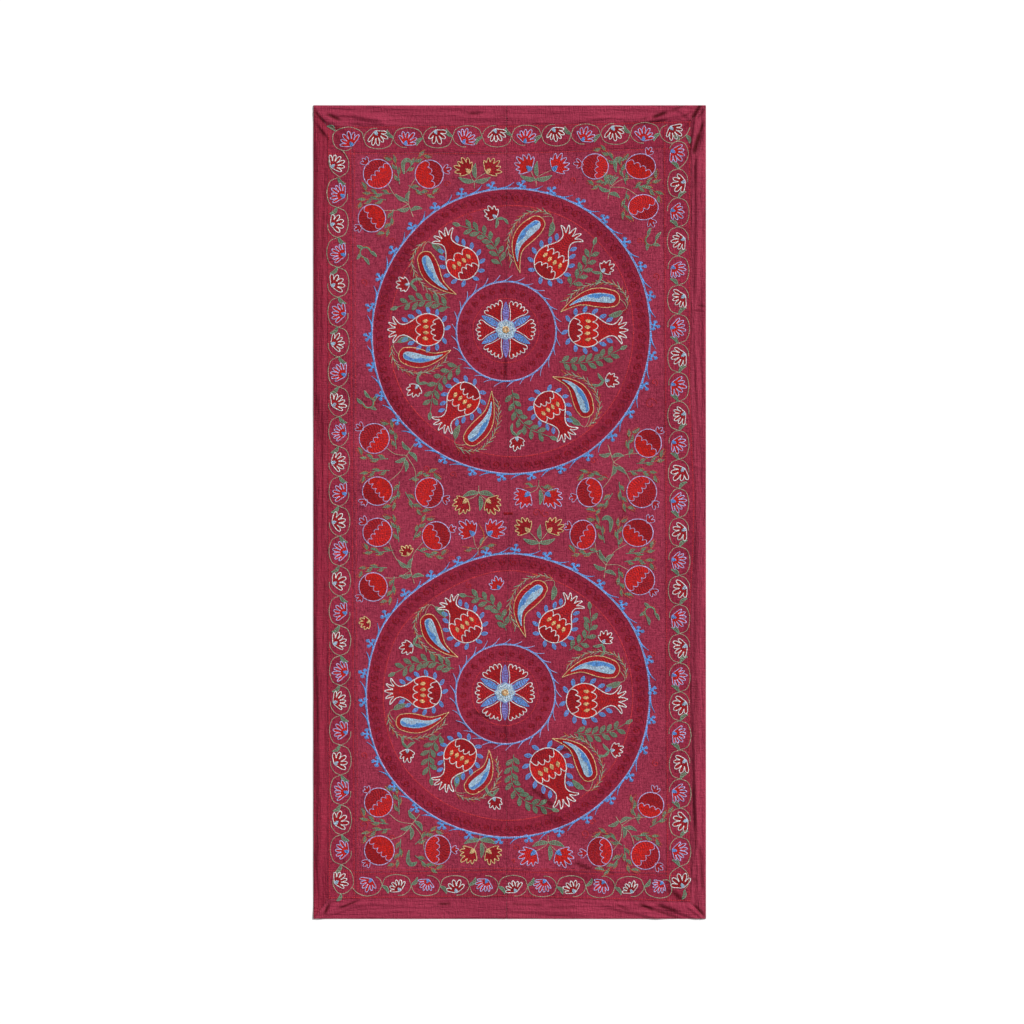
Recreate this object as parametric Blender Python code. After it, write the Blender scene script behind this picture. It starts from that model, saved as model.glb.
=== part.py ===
"""Suzani: an embroidered cover of two joined halves, lying flat with its face up.

Metres, +Z up. The origin is at the middle of the underside, +Y runs to the upper end of the design.
"""
import math
from collections import namedtuple

import bmesh
import bpy

# Driving dimensions
HALF_WIDTH = 0.500
HALF_LENGTH = 1.036
SEAM_GAP = 0.0003
MITRE_GAP = 0.0005
FIELD_THICKNESS = 0.0022
BAND_THICKNESS = 0.0020
MARGIN_THICKNESS = 0.0014
HEM_WIDTH = 0.009
HEM_EXTRA = 0.0006
MM = 0.001

# Seams that run up the cloth: x at the lower and upper end, and a sideways bow (all mm)
Upright = namedtuple("Upright", "x_low x_high bow bow_y bow_reach")
UPRIGHTS = {
    "edge_left": Upright(-500, -500, 0, 0, 1),
    "margin_left": Upright(-463, -465, 0, 0, 1),
    "band_left": Upright(-392, -402, 0, 0, 1),
    "centre": Upright(-8, -9, 5, 0, 420),
    "band_right": Upright(399, 390, 0, 0, 1),
    "margin_right": Upright(460, 462, 11, 0, 330),
    "edge_right": Upright(500, 500, 0, 0, 1),
}

# Seams that run across the cloth: y at the left edge, the centre seam and the right edge (mm)
Level = namedtuple("Level", "y_left y_centre y_right")
LEVELS = {
    "edge_bottom": Level(-1036, -1036, -1036),
    "margin_bottom": Level(-987, -981, -995),
    "band_bottom": Level(-920, -912, -924),
    "band_top": Level(915, 916, 931),
    "margin_top": Level(982, 986, 998),
    "edge_top": Level(1036, 1036, 1036),
}

# Each piece lies between two long edges: (seam, seam it starts at, seam it stops at)
Piece = namedtuple("Piece", "name edge_a edge_b across along kind")
PIECES = [
    Piece("field_left", ("band_left", "band_bottom", "band_top"),
          ("centre", "band_bottom", "band_top"), 9, 38, "field"),
    Piece("field_right", ("centre", "band_bottom", "band_top"),
          ("band_right", "band_bottom", "band_top"), 9, 38, "field"),
    Piece("band_left", ("margin_left", "margin_bottom", "margin_top"),
          ("band_left", "margin_bottom", "margin_top"), 2, 44, "band"),
    Piece("band_right", ("band_right", "margin_bottom", "margin_top"),
          ("margin_right", "margin_bottom", "margin_top"), 2, 44, "band"),
    Piece("band_top_left", ("band_top", "band_left", "centre"),
          ("margin_top", "band_left", "centre"), 2, 10, "band"),
    Piece("band_top_right", ("band_top", "centre", "band_right"),
          ("margin_top", "centre", "band_right"), 2, 10, "band"),
    Piece("band_bottom_left", ("margin_bottom", "band_left", "centre"),
          ("band_bottom", "band_left", "centre"), 2, 10, "band"),
    Piece("band_bottom_right", ("margin_bottom", "centre", "band_right"),
          ("band_bottom", "centre", "band_right"), 2, 10, "band"),
    Piece("margin_left", ("edge_left", "edge_bottom", "edge_top"),
          ("margin_left", "margin_bottom", "margin_top"), 4, 60, "margin"),
    Piece("margin_right", ("margin_right", "margin_bottom", "margin_top"),
          ("edge_right", "edge_bottom", "edge_top"), 4, 60, "margin"),
    Piece("margin_top_left", ("margin_top", "margin_left", "centre"),
          ("edge_top", "edge_left", "centre"), 4, 17, "margin"),
    Piece("margin_top_right", ("margin_top", "centre", "margin_right"),
          ("edge_top", "centre", "edge_right"), 4, 17, "margin"),
    Piece("margin_bottom_left", ("edge_bottom", "edge_left", "centre"),
          ("margin_bottom", "margin_left", "centre"), 4, 17, "margin"),
    Piece("margin_bottom_right", ("edge_bottom", "centre", "edge_right"),
          ("margin_bottom", "centre", "margin_right"), 4, 17, "margin"),
]

# Ridges where the cloth lifts off the surface: crest ends, half width and height (mm)
Fold = namedtuple("Fold", "name x1 y1 x2 y2 half_width height")
FOLDS = [
    Fold("left edge ripple, upper", -483, 940, -482, 260, 16, 2.6),
    Fold("left edge ripple, lower", -484, 120, -480, -900, 16, 3.0),
    Fold("right edge ripple, upper", 486, 900, 481, 560, 15, 3.2),
    Fold("right edge ripple, lower", 485, -40, 478, -900, 16, 3.0),
    Fold("top left pull", -486, 1020, -392, 968, 20, 3.6),
    Fold("top left pull, inner", -400, 1024, -300, 990, 20, 2.4),
    Fold("top margin drag", -150, 1012, 40, 1016, 18, 2.2),
    Fold("top right drag", 300, 1000, 440, 1024, 20, 3.4),
    Fold("top right mitre pull", 486, 1018, 470, 900, 16, 3.8),
    Fold("right edge nick", 470, 524, 500, 523, 12, 2.2),
    Fold("bottom left mitre pull", -490, -1022, -380, -985, 20, 3.4),
    Fold("bottom margin drag", 0, -1004, 190, -1014, 18, 2.8),
    Fold("bottom right fan, long", 250, -992, 380, -1022, 20, 3.2),
    Fold("bottom right fan, short", 390, -992, 480, -1022, 20, 3.6),
    Fold("field pull above the lower border", 120, -872, 330, -930, 46, 3.6),
    Fold("field pull beside the lower centre", -20, -896, 90, -912, 40, 2.2),
    Fold("lower medallion pull, left", -140, -490, -20, -545, 46, 2.6),
    Fold("lower medallion pull, right", 60, -690, 190, -790, 50, 3.6),
    Fold("upper medallion trough shoulder", -310, 380, -225, 210, 48, 2.6),
    Fold("centre seam pucker", -8, 400, -6, 270, 40, 2.2),
]

COLOURS = {
    "field": (0.265, 0.027, 0.055, 1.0),
    "band": (0.250, 0.020, 0.045, 1.0),
    "margin": (0.285, 0.031, 0.063, 1.0),
}
THICKNESS = {"field": FIELD_THICKNESS, "band": BAND_THICKNESS, "margin": MARGIN_THICKNESS}


def upright_x(name, y):
    """x of an upright seam at height y, with its bow as a cosine bump."""
    seam = UPRIGHTS[name]
    share = (y / MM + HALF_LENGTH / MM) / (2 * HALF_LENGTH / MM)
    x = seam.x_low + (seam.x_high - seam.x_low) * share
    away = min(1.0, abs(y / MM - seam.bow_y) / seam.bow_reach)
    return (x + seam.bow * 0.5 * (1 + math.cos(math.pi * away))) * MM


def level_y(name, x):
    """y of a cross seam at x: two straight runs that meet at the centre seam."""
    seam = LEVELS[name]
    share = abs(x) / HALF_WIDTH
    end = seam.y_left if x < 0 else seam.y_right
    return (seam.y_centre + (end - seam.y_centre) * share) * MM


def crossing(upright, level):
    """The point where an upright seam meets a cross seam."""
    x = upright_x(upright, 0.0)
    for _ in range(12):
        y = level_y(level, x)
        x = upright_x(upright, y)
    return x, y


def edge_point(edge, share):
    """The point at a share of the way along a long edge."""
    seam, start, stop = edge
    if seam in UPRIGHTS:
        low = crossing(seam, start)[1]
        high = crossing(seam, stop)[1]
        y = low + (high - low) * share
        return upright_x(seam, y), y
    left = crossing(start, seam)[0]
    right = crossing(stop, seam)[0]
    x = left + (right - left) * share
    return x, level_y(seam, x)


def smooth(t):
    t = max(0.0, min(1.0, t))
    return t * t * (3 - 2 * t)


def fold_height(x, y):
    """How far the cloth's underside is lifted off the surface at a point."""
    lift = 0.0
    for fold in FOLDS:
        dx, dy = (fold.x2 - fold.x1) * MM, (fold.y2 - fold.y1) * MM
        length = math.hypot(dx, dy)
        px, py = x - fold.x1 * MM, y - fold.y1 * MM
        along = (px * dx + py * dy) / length
        aside = abs(px * dy - py * dx) / length
        width = fold.half_width * MM
        if aside >= width or not -width < along < length + width:
            continue
        ends = smooth((along + width) / (3 * width)) * smooth((length + width - along) / (3 * width))
        crest = 0.5 * (1 + math.cos(math.pi * aside / width))
        lift = max(lift, fold.height * MM * crest * ends)
    return lift


def cloth_material(kind):
    material = bpy.data.materials.new("cloth_" + kind)
    material.use_nodes = True
    shader = material.node_tree.nodes["Principled BSDF"]
    shader.inputs["Base Color"].default_value = COLOURS[kind]
    shader.inputs["Roughness"].default_value = 0.55 if kind == "margin" else 0.75
    shader.inputs["Metallic"].default_value = 0.0
    return material


def edge_distance(x, y):
    return min(HALF_WIDTH - abs(x), HALF_LENGTH - abs(y))


def cloth_piece(piece, material, collection):
    """A strip or panel: a grid laid between its two long edges, lifted over the folds, then given its thickness."""
    bm = bmesh.new()
    bmesh.ops.create_grid(bm, x_segments=piece.across, y_segments=piece.along, size=0.5)
    end_gap = MITRE_GAP if piece.kind == "margin" else SEAM_GAP
    for vert in bm.verts:
        u, v = vert.co.x + 0.5, vert.co.y + 0.5
        first, last = edge_point(piece.edge_a, 0.0), edge_point(piece.edge_a, 1.0)
        v_gap = end_gap / 2 / math.dist(first, last)
        v = v_gap + v * (1 - 2 * v_gap)
        a, b = edge_point(piece.edge_a, v), edge_point(piece.edge_b, v)
        u_gap = SEAM_GAP / 2 / math.dist(a, b)
        u = u_gap + u * (1 - 2 * u_gap)
        x, y = a[0] + (b[0] - a[0]) * u, a[1] + (b[1] - a[1]) * u
        vert.co = (x, y, fold_height(x, y))
    under = list(bm.verts)
    raised = bmesh.ops.extrude_face_region(bm, geom=bm.faces[:])
    for vert in raised["geom"]:
        if not isinstance(vert, bmesh.types.BMVert):
            continue
        hem = piece.kind == "margin" and edge_distance(vert.co.x, vert.co.y) < HEM_WIDTH
        vert.co.z += THICKNESS[piece.kind] + (HEM_EXTRA if hem else 0.0)
    assert len(bm.verts) == 2 * len(under)
    bmesh.ops.triangulate(bm, faces=bm.faces[:])
    bmesh.ops.recalc_face_normals(bm, faces=bm.faces[:])
    mesh = bpy.data.meshes.new(piece.name)
    bm.to_mesh(mesh)
    bm.free()
    mesh.materials.append(material)
    mesh.shade_smooth()
    mesh.set_sharp_from_angle(angle=math.radians(40))
    collection.objects.link(bpy.data.objects.new(piece.name, mesh))


for leftover in list(bpy.data.objects):
    bpy.data.objects.remove(leftover, do_unlink=True)
suzani = bpy.data.collections.new("suzani")
bpy.context.scene.collection.children.link(suzani)
materials = {kind: cloth_material(kind) for kind in COLOURS}
for piece in PIECES:
    cloth_piece(piece, materials[piece.kind], suzani)
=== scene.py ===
import math
from collections import namedtuple

import bmesh
import bpy
import numpy as np
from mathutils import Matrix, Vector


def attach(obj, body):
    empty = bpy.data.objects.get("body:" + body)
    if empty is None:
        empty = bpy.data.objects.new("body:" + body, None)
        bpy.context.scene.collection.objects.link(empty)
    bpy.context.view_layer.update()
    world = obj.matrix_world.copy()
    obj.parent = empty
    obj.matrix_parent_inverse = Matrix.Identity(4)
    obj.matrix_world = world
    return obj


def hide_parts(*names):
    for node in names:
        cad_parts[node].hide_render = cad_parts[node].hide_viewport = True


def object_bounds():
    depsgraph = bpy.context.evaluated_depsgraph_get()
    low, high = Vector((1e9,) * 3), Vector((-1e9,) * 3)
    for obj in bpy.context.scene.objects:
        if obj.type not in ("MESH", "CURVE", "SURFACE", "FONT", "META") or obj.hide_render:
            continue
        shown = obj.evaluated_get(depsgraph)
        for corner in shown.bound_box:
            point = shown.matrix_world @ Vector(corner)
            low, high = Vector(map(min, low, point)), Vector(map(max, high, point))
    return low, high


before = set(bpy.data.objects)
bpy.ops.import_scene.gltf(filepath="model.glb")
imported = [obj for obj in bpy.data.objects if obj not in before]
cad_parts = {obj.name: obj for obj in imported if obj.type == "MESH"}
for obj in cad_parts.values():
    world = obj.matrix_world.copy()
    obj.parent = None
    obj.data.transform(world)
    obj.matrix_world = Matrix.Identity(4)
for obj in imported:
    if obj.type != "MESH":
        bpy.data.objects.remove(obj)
cad_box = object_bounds()

# ---------------------------------------------------------------- field panels
# The two ground panels of the suzani: raspberry handloom with a cotton warp and a silk weft, about 40 cm
# wide each, joined down the middle by hand. They lie flat on the surface and lift only where a fold runs.
MM = 0.001
half_width, half_length = cad_box[1].x, cad_box[1].y
CLOTH = 1.2  # thickness of the cloth itself, mm
SEAM_GAP = 0.3  # mm between neighbouring pieces
HEM_WIDTH, HEM_EXTRA = 9.0, 0.6

# Seams that run up the cloth: x at the lower and upper end, and a sideways bow (all mm)
Upright = namedtuple("Upright", "x_low x_high bow bow_y bow_reach")
UPRIGHTS = {
    "edge_left": Upright(-half_width / MM, -half_width / MM, 0, 0, 1),
    "margin_left": Upright(-463, -465, 0, 0, 1),
    "band_left": Upright(-392, -402, 0, 0, 1),
    "centre": Upright(-8, -9, 5, 0, 420),
    "band_right": Upright(399, 390, 0, 0, 1),
    "margin_right": Upright(460, 462, 11, 0, 330),
    "edge_right": Upright(half_width / MM, half_width / MM, 0, 0, 1),
}
# Seams that run across the cloth: y at the left edge, the centre seam and the right edge (mm)
Level = namedtuple("Level", "y_left y_centre y_right")
LEVELS = {
    "edge_bottom": Level(*[-half_length / MM] * 3),
    "margin_bottom": Level(-987, -981, -995),
    "band_bottom": Level(-920, -912, -924),
    "band_top": Level(915, 916, 931),
    "margin_top": Level(982, 986, 998),
    "edge_top": Level(*[half_length / MM] * 3),
}
# Ridges where the cloth lifts: crest ends, half width, height (mm), and how far the crest leans to one side
Fold = namedtuple("Fold", "x1 y1 x2 y2 half_width height lean")
FOLDS = [
    Fold(-483, 940, -482, 260, 16, 3.9, -0.3),  # ripples in the left border
    Fold(-484, 120, -480, -900, 16, 4.5, -0.3),
    Fold(-473, 600, -471, -60, 8, 2.1, -0.4),
    Fold(-490, -260, -476, -700, 9, 2.4, -0.5),
    Fold(486, 900, 481, 560, 15, 4.8, -0.4),  # ripples in the right border
    Fold(485, -40, 478, -900, 16, 4.5, -0.3),
    Fold(474, 420, 490, 160, 9, 2.2, -0.4),
    Fold(468, -420, 480, -800, 9, 2.7, -0.5),
    Fold(-486, 1020, -392, 968, 20, 5.4, -0.5),  # pulls at the upper left corner
    Fold(-400, 1024, -300, 990, 20, 3.6, -0.4),
    Fold(-492, 1000, -452, 948, 9, 3, -0.5),
    Fold(-440, 1018, -330, 1002, 9, 2.4, -0.6),
    Fold(-440, 960, -405, 905, 14, 2, -0.5),
    Fold(-150, 1012, 40, 1016, 18, 3.3, -0.5),  # drags along the upper border
    Fold(-120, 1022, -50, 1020, 7, 2.4, -0.6),
    Fold(60, 1004, 120, 1024, 9, 2.5, -0.5),
    Fold(170, 996, 250, 1008, 9, 2.1, -0.5),
    Fold(300, 1000, 440, 1024, 20, 5.1, -0.6),
    Fold(340, 996, 400, 1006, 8, 2.7, -0.6),
    Fold(430, 1030, 470, 1000, 10, 3.3, -0.6),
    Fold(486, 1018, 470, 900, 16, 5.7, -0.6),  # pulls at the upper right corner
    Fold(497, 960, 476, 860, 9, 3, -0.6),
    Fold(420, 985, 448, 1000, 8, 2.7, -0.6),
    Fold(398, 925, 420, 960, 10, 1.6, 0.5),
    Fold(470, 524, 500, 523, 12, 3.3, -0.6),  # nicks across the right border
    Fold(466, 122, 500, 114, 7, 2.4, -0.6),
    Fold(-490, -1022, -380, -985, 20, 5.1, -0.6),  # pulls at the lower left corner
    Fold(-440, -1002, -330, -988, 9, 2.5, -0.6),
    Fold(-490, -860, -478, -980, 9, 3, -0.5),
    Fold(-415, -880, -400, -960, 12, 1.6, -0.5),
    Fold(0, -1004, 190, -1014, 18, 4.2, -0.6),  # drags along the lower border
    Fold(-190, -999, -145, -998, 7, 2.8, -0.6),
    Fold(-300, -1010, -220, -1014, 8, 1.8, -0.4),
    Fold(250, -992, 380, -1022, 20, 4.8, -0.6),
    Fold(390, -992, 480, -1022, 20, 5.4, -0.6),
    Fold(320, -994, 410, -1012, 8, 2.4, -0.6),
    Fold(455, -1000, 492, -1030, 9, 3.3, -0.5),
    Fold(404, -950, 450, -985, 12, 2.2, -0.6),
    Fold(120, -872, 330, -930, 46, 3.6, -0.62),  # pulls in the field above the lower border
    Fold(150, -884, 218, -916, 14, 2, -0.6),
    Fold(250, -915, 305, -938, 13, 1.6, -0.6),
    Fold(-20, -896, 90, -912, 40, 2.2, -0.6),
    Fold(18, -902, 66, -912, 12, 1.7, -0.6),
    Fold(-140, -490, -20, -545, 46, 2.6, -0.6),  # pulls across the lower medallion
    Fold(-108, -500, -46, -532, 12, 1.9, -0.7),
    Fold(60, -690, 190, -790, 50, 3.6, -0.6),
    Fold(46, -694, 118, -756, 14, 2.4, -0.7),
    Fold(108, -592, 168, -616, 13, 2.2, -0.7),
    Fold(-12, -690, -14, -740, 12, 1.4, -0.6),
    Fold(-310, 380, -225, 210, 48, 2.6, -0.4),  # pulls across the upper medallion
    Fold(-296, 372, -236, 236, 14, 1.3, -0.6),
    Fold(-8, 400, -6, 270, 40, 2.2, 0),
    Fold(60, 140, 230, 110, 30, 1.6, -0.4),
    Fold(-300, -20, -120, 6, 30, 1.4, -0.4),
]

# Tucks where the cloth doubles into a narrow groove: ends, width and depth (mm)
Tuck = namedtuple("Tuck", "x1 y1 x2 y2 width depth")
TUCKS = [
    Tuck(-465, 1014, -432, 998, 7, 2.0),  # upper left corner
    Tuck(-499, 1021, -472, 993, 5, 1.3),
    Tuck(-484, 974, -469, 956, 7, 1.5),
    Tuck(-447, 962, -421, 923, 7, 1.2),
    Tuck(-400, 990, -372, 984, 5, 0.8),
    Tuck(-108, 1014, -72, 1016, 6, 1.3),  # upper border
    Tuck(-40, 1008, -12, 1010, 4, 0.8),
    Tuck(-170, 911, -20, 915, 6, 0.8),
    Tuck(-345, 908, -240, 909, 5, 0.5),
    Tuck(330, 998, 352, 1004, 4, 0.9),
    Tuck(363, 1004, 400, 1019, 8, 2.0),  # upper right corner
    Tuck(406, 1020, 442, 1034, 7, 1.0),
    Tuck(440, 1005, 458, 1017, 5, 1.2),
    Tuck(464, 1002, 487, 1038, 7, 2.3),
    Tuck(477, 1001, 498, 1028, 4, 1.2),
    Tuck(468, 912, 484, 966, 9, 2.2),
    Tuck(482, 958, 493, 994, 6, 1.7),
    Tuck(371, 991, 400, 996, 4, 1.0),
    Tuck(446, 976, 456, 993, 7, 1.2),
    Tuck(399, 917, 415, 935, 4, 1.0),
    Tuck(478, 526, 500, 523, 5, 1.5),  # right border
    Tuck(466, 512, 486, 512, 4, 0.8),
    Tuck(474, 880, 468, 820, 5, 0.9),
    Tuck(472, -430, 480, -620, 7, 0.8),
    Tuck(466, -700, 474, -860, 7, 0.9),
    Tuck(482, -850, 492, -960, 7, 0.9),
    Tuck(466, -928, 473, -946, 9, 1.0),
    Tuck(-472, -1024, -459, -996, 6, 2.0),  # lower left corner
    Tuck(-436, -1009, -387, -990, 5, 1.6),
    Tuck(-183, -998, -151, -998, 6, 1.7),  # lower border
    Tuck(0, -997, 84, -1002, 6, 0.9),
    Tuck(96, -1006, 170, -1009, 5, 0.8),
    Tuck(270, -1000, 304, -1014, 5, 1.0),
    Tuck(330, -998, 368, -1014, 7, 1.8),  # lower right corner
    Tuck(366, -1013, 434, -1035, 5, 1.2),
    Tuck(376, -1000, 426, -1017, 7, 1.7),
    Tuck(470, -1000, 494, -1027, 6, 1.8),
    Tuck(412, -965, 440, -989, 8, 2.0),
    Tuck(394, -957, 412, -973, 7, 1.2),
    Tuck(399, -938, 408, -954, 6, 1.0),
    Tuck(166, -893, 212, -913, 7, 2.0),  # lower field
    Tuck(24, -904, 60, -911, 6, 1.5),
    Tuck(232, -905, 268, -924, 6, 1.3),
    Tuck(-98, -506, -49, -528, 6, 2.0),
    Tuck(114, -599, 158, -611, 7, 1.8),
    Tuck(53, -701, 111, -750, 7, 2.0),
    Tuck(-11, -585, -12, -540, 5, 1.3),
    Tuck(-14, -715, -14, -760, 4, 1.1),
    Tuck(-295, 369, -270, 312, 5, 1.0),  # upper field
    Tuck(-258, 282, -239, 234, 5, 1.0),
    Tuck(-12, 392, -13, 340, 5, 1.4),
    Tuck(-492, 300, -489, 180, 7, 0.7),  # left border
    Tuck(-476, 760, -478, 640, 7, 0.7),
    Tuck(-490, -420, -487, -560, 7, 0.7),
    Tuck(-474, -180, -472, -300, 6, 0.6),
]


def upright_x(name, y):
    """x of an upright seam at height y, with its bow as a cosine bump (mm)."""
    seam = UPRIGHTS[name]
    share = y * MM / half_length / 2 + 0.5
    away = np.minimum(1.0, np.abs(y - seam.bow_y) / seam.bow_reach)
    bump = seam.bow * 0.5 * (1 + np.cos(np.pi * away))
    return seam.x_low + (seam.x_high - seam.x_low) * share + bump


def level_y(name, x):
    """y of a cross seam at x: two straight runs that meet at the centre seam (mm)."""
    seam = LEVELS[name]
    end = np.where(x < 0, seam.y_left, seam.y_right)
    return seam.y_centre + (end - seam.y_centre) * np.abs(x) * MM / half_width


def crossing(upright, level):
    """The point where an upright seam meets a cross seam."""
    x = float(upright_x(upright, 0.0))
    for _ in range(12):
        y = float(level_y(level, x))
        x = float(upright_x(upright, y))
    return x, y


def edge_points(edge, shares):
    """Points at the given shares of the way along a long edge: its seam, where it starts, where it stops."""
    seam, start, stop = edge
    if seam in UPRIGHTS:
        low, high = crossing(seam, start)[1], crossing(seam, stop)[1]
        y = low + (high - low) * shares
        return np.stack([upright_x(seam, y), y], 1)
    left, right = crossing(start, seam)[0], crossing(stop, seam)[0]
    x = left + (right - left) * shares
    return np.stack([x, level_y(seam, x)], 1)


def smooth(t):
    t = np.clip(t, 0.0, 1.0)
    return t * t * (3 - 2 * t)


def tucked(x, y):
    """How deep the narrow grooves are at a point (mm)."""
    depth = np.zeros_like(x)
    for tuck in TUCKS:
        run = np.array([tuck.x2 - tuck.x1, tuck.y2 - tuck.y1], float)
        length = np.hypot(*run)
        run /= length
        along = (x - tuck.x1) * run[0] + (y - tuck.y1) * run[1]
        across = ((y - tuck.y1) * run[0] - (x - tuck.x1) * run[1]) / tuck.width * 1.6
        ends = np.clip(np.minimum(along, length - along) / 14 + 0.4, 0, 1)
        depth = np.maximum(depth, tuck.depth * np.exp(-(across**2)) * ends)
    return depth


def lift(x, y):
    """How far the underside of the cloth stands off the surface (mm)."""
    height = np.zeros_like(x)
    for fold in FOLDS:
        run = np.array([fold.x2 - fold.x1, fold.y2 - fold.y1], float)
        length = np.hypot(*run)
        run /= length
        along = (x - fold.x1) * run[0] + (y - fold.y1) * run[1]
        across = ((y - fold.y1) * run[0] - (x - fold.x1) * run[1]) / fold.half_width
        rise, fall = (across + 1) / (1 + fold.lean), (1 - across) / (1 - fold.lean)
        near = np.where(across < fold.lean, rise, fall)
        reach = 1.6 * fold.half_width
        ends = smooth((along + reach) / (2 * reach)) * smooth((length + reach - along) / (2 * reach))
        ridge = fold.height * smooth(near) * ends
        height = np.where(fold.half_width > 30, np.maximum(height, ridge), height + 0.8 * ridge)
    return np.maximum(0.0, height - tucked(x, y))


def seam_distance(x, y):
    """How far a point is from the nearest seam (mm)."""
    inside = {
        name: (y > level_y("margin_bottom", x)) & (y < level_y("margin_top", x))
        for name in ("margin_left", "band_left", "band_right", "margin_right")
    }
    inside["centre"] = np.full(x.shape, True)
    away = np.full(x.shape, 99.0)
    for name, there in inside.items():
        away = np.where(there, np.minimum(away, np.abs(x - upright_x(name, y))), away)
    for kind in ("margin", "band"):
        there = (x > upright_x(kind + "_left", y)) & (x < upright_x(kind + "_right", y))
        for end in ("_bottom", "_top"):
            away = np.where(there, np.minimum(away, np.abs(y - level_y(kind + end, x))), away)
    for side in ("left", "right"):
        for end in ("bottom", "top"):
            inner = np.array(crossing("margin_" + side, "margin_" + end))
            outer = np.array(crossing("edge_" + side, "edge_" + end))
            run = (outer - inner) / np.hypot(*(outer - inner))
            along = (x - inner[0]) * run[0] + (y - inner[1]) * run[1]
            across = np.abs((y - inner[1]) * run[0] - (x - inner[0]) * run[1])
            away = np.where(along > 0, np.minimum(away, across), away)
    return away


def top(x, y):
    """Height of the cloth's face (mm): its folds, the groove of each seam and the puckers beside it."""
    away = seam_distance(x, y)
    groove = 0.4 * np.exp(-((away / 1.4) ** 2)) + 0.35 * tucked(x, y)
    pucker = 0.3 * np.exp(-away / 8) * (1 + np.sin((x + y) / 3.6 + 2 * np.sin((x - y) / 17)))
    slack = 0.25 * np.sin(x / 31 + np.sin(y / 47)) * np.sin(y / 37 + np.sin(x / 53)) + 0.25
    edge = np.minimum(half_width / MM - np.abs(x), half_length / MM - np.abs(y))
    hem = HEM_EXTRA * smooth((HEM_WIDTH - edge) / 1.5 + 1)
    roll = 0.9 * np.exp(-edge / 1.2)
    return lift(x, y) + CLOTH - groove + pucker + slack + hem - roll


def grid_lines(length, step):
    """Shares of a length where grid lines go: close together at both rims, even between them."""
    rims = np.array([0.0, 1.3, 3.6])
    middle = np.linspace(rims[-1], length - rims[-1], max(2, round(length / step)) + 1)[1:-1]
    return np.concatenate([rims, middle, (length - rims)[::-1]]) / length


def linear(hex_colour):
    """The linear RGBA of an sRGB hex colour."""
    parts = [int(hex_colour[i : i + 2], 16) / 255 for i in (1, 3, 5)]
    return [c / 12.92 if c <= 0.04045 else ((c + 0.055) / 1.055) ** 2.4 for c in parts] + [1.0]


def add(tree, kind, inputs=None, **settings):
    """Adds a node, with its settings, and with each input set to a value or linked from a socket."""
    made = tree.nodes.new(kind)
    for key, value in settings.items():
        setattr(made, key, value)
    for key, value in (inputs or {}).items():
        if isinstance(value, bpy.types.NodeSocket):
            tree.links.new(value, made.inputs[key])
        else:
            made.inputs[key].default_value = value
    return made


def blank_material(name):
    material = bpy.data.materials.new(name)
    material.use_nodes = True
    tree = material.node_tree
    return material, tree, tree.nodes["Principled BSDF"]


def stretched_noise(tree, place, across_mm, along_mm, upright):
    """Noise drawn out along the warp or the weft, as slubs in a handspun thread are."""
    size = (1 / across_mm, 1 / along_mm) if upright else (1 / along_mm, 1 / across_mm)
    scaled = add(tree, "ShaderNodeMapping", {"Vector": place, "Scale": (size[0] / MM, size[1] / MM, 60)})
    noise = add(tree, "ShaderNodeTexNoise", {"Vector": scaled.outputs[0], "Scale": 1.0, "Detail": 2.0})
    return noise.outputs["Fac"]


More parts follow.
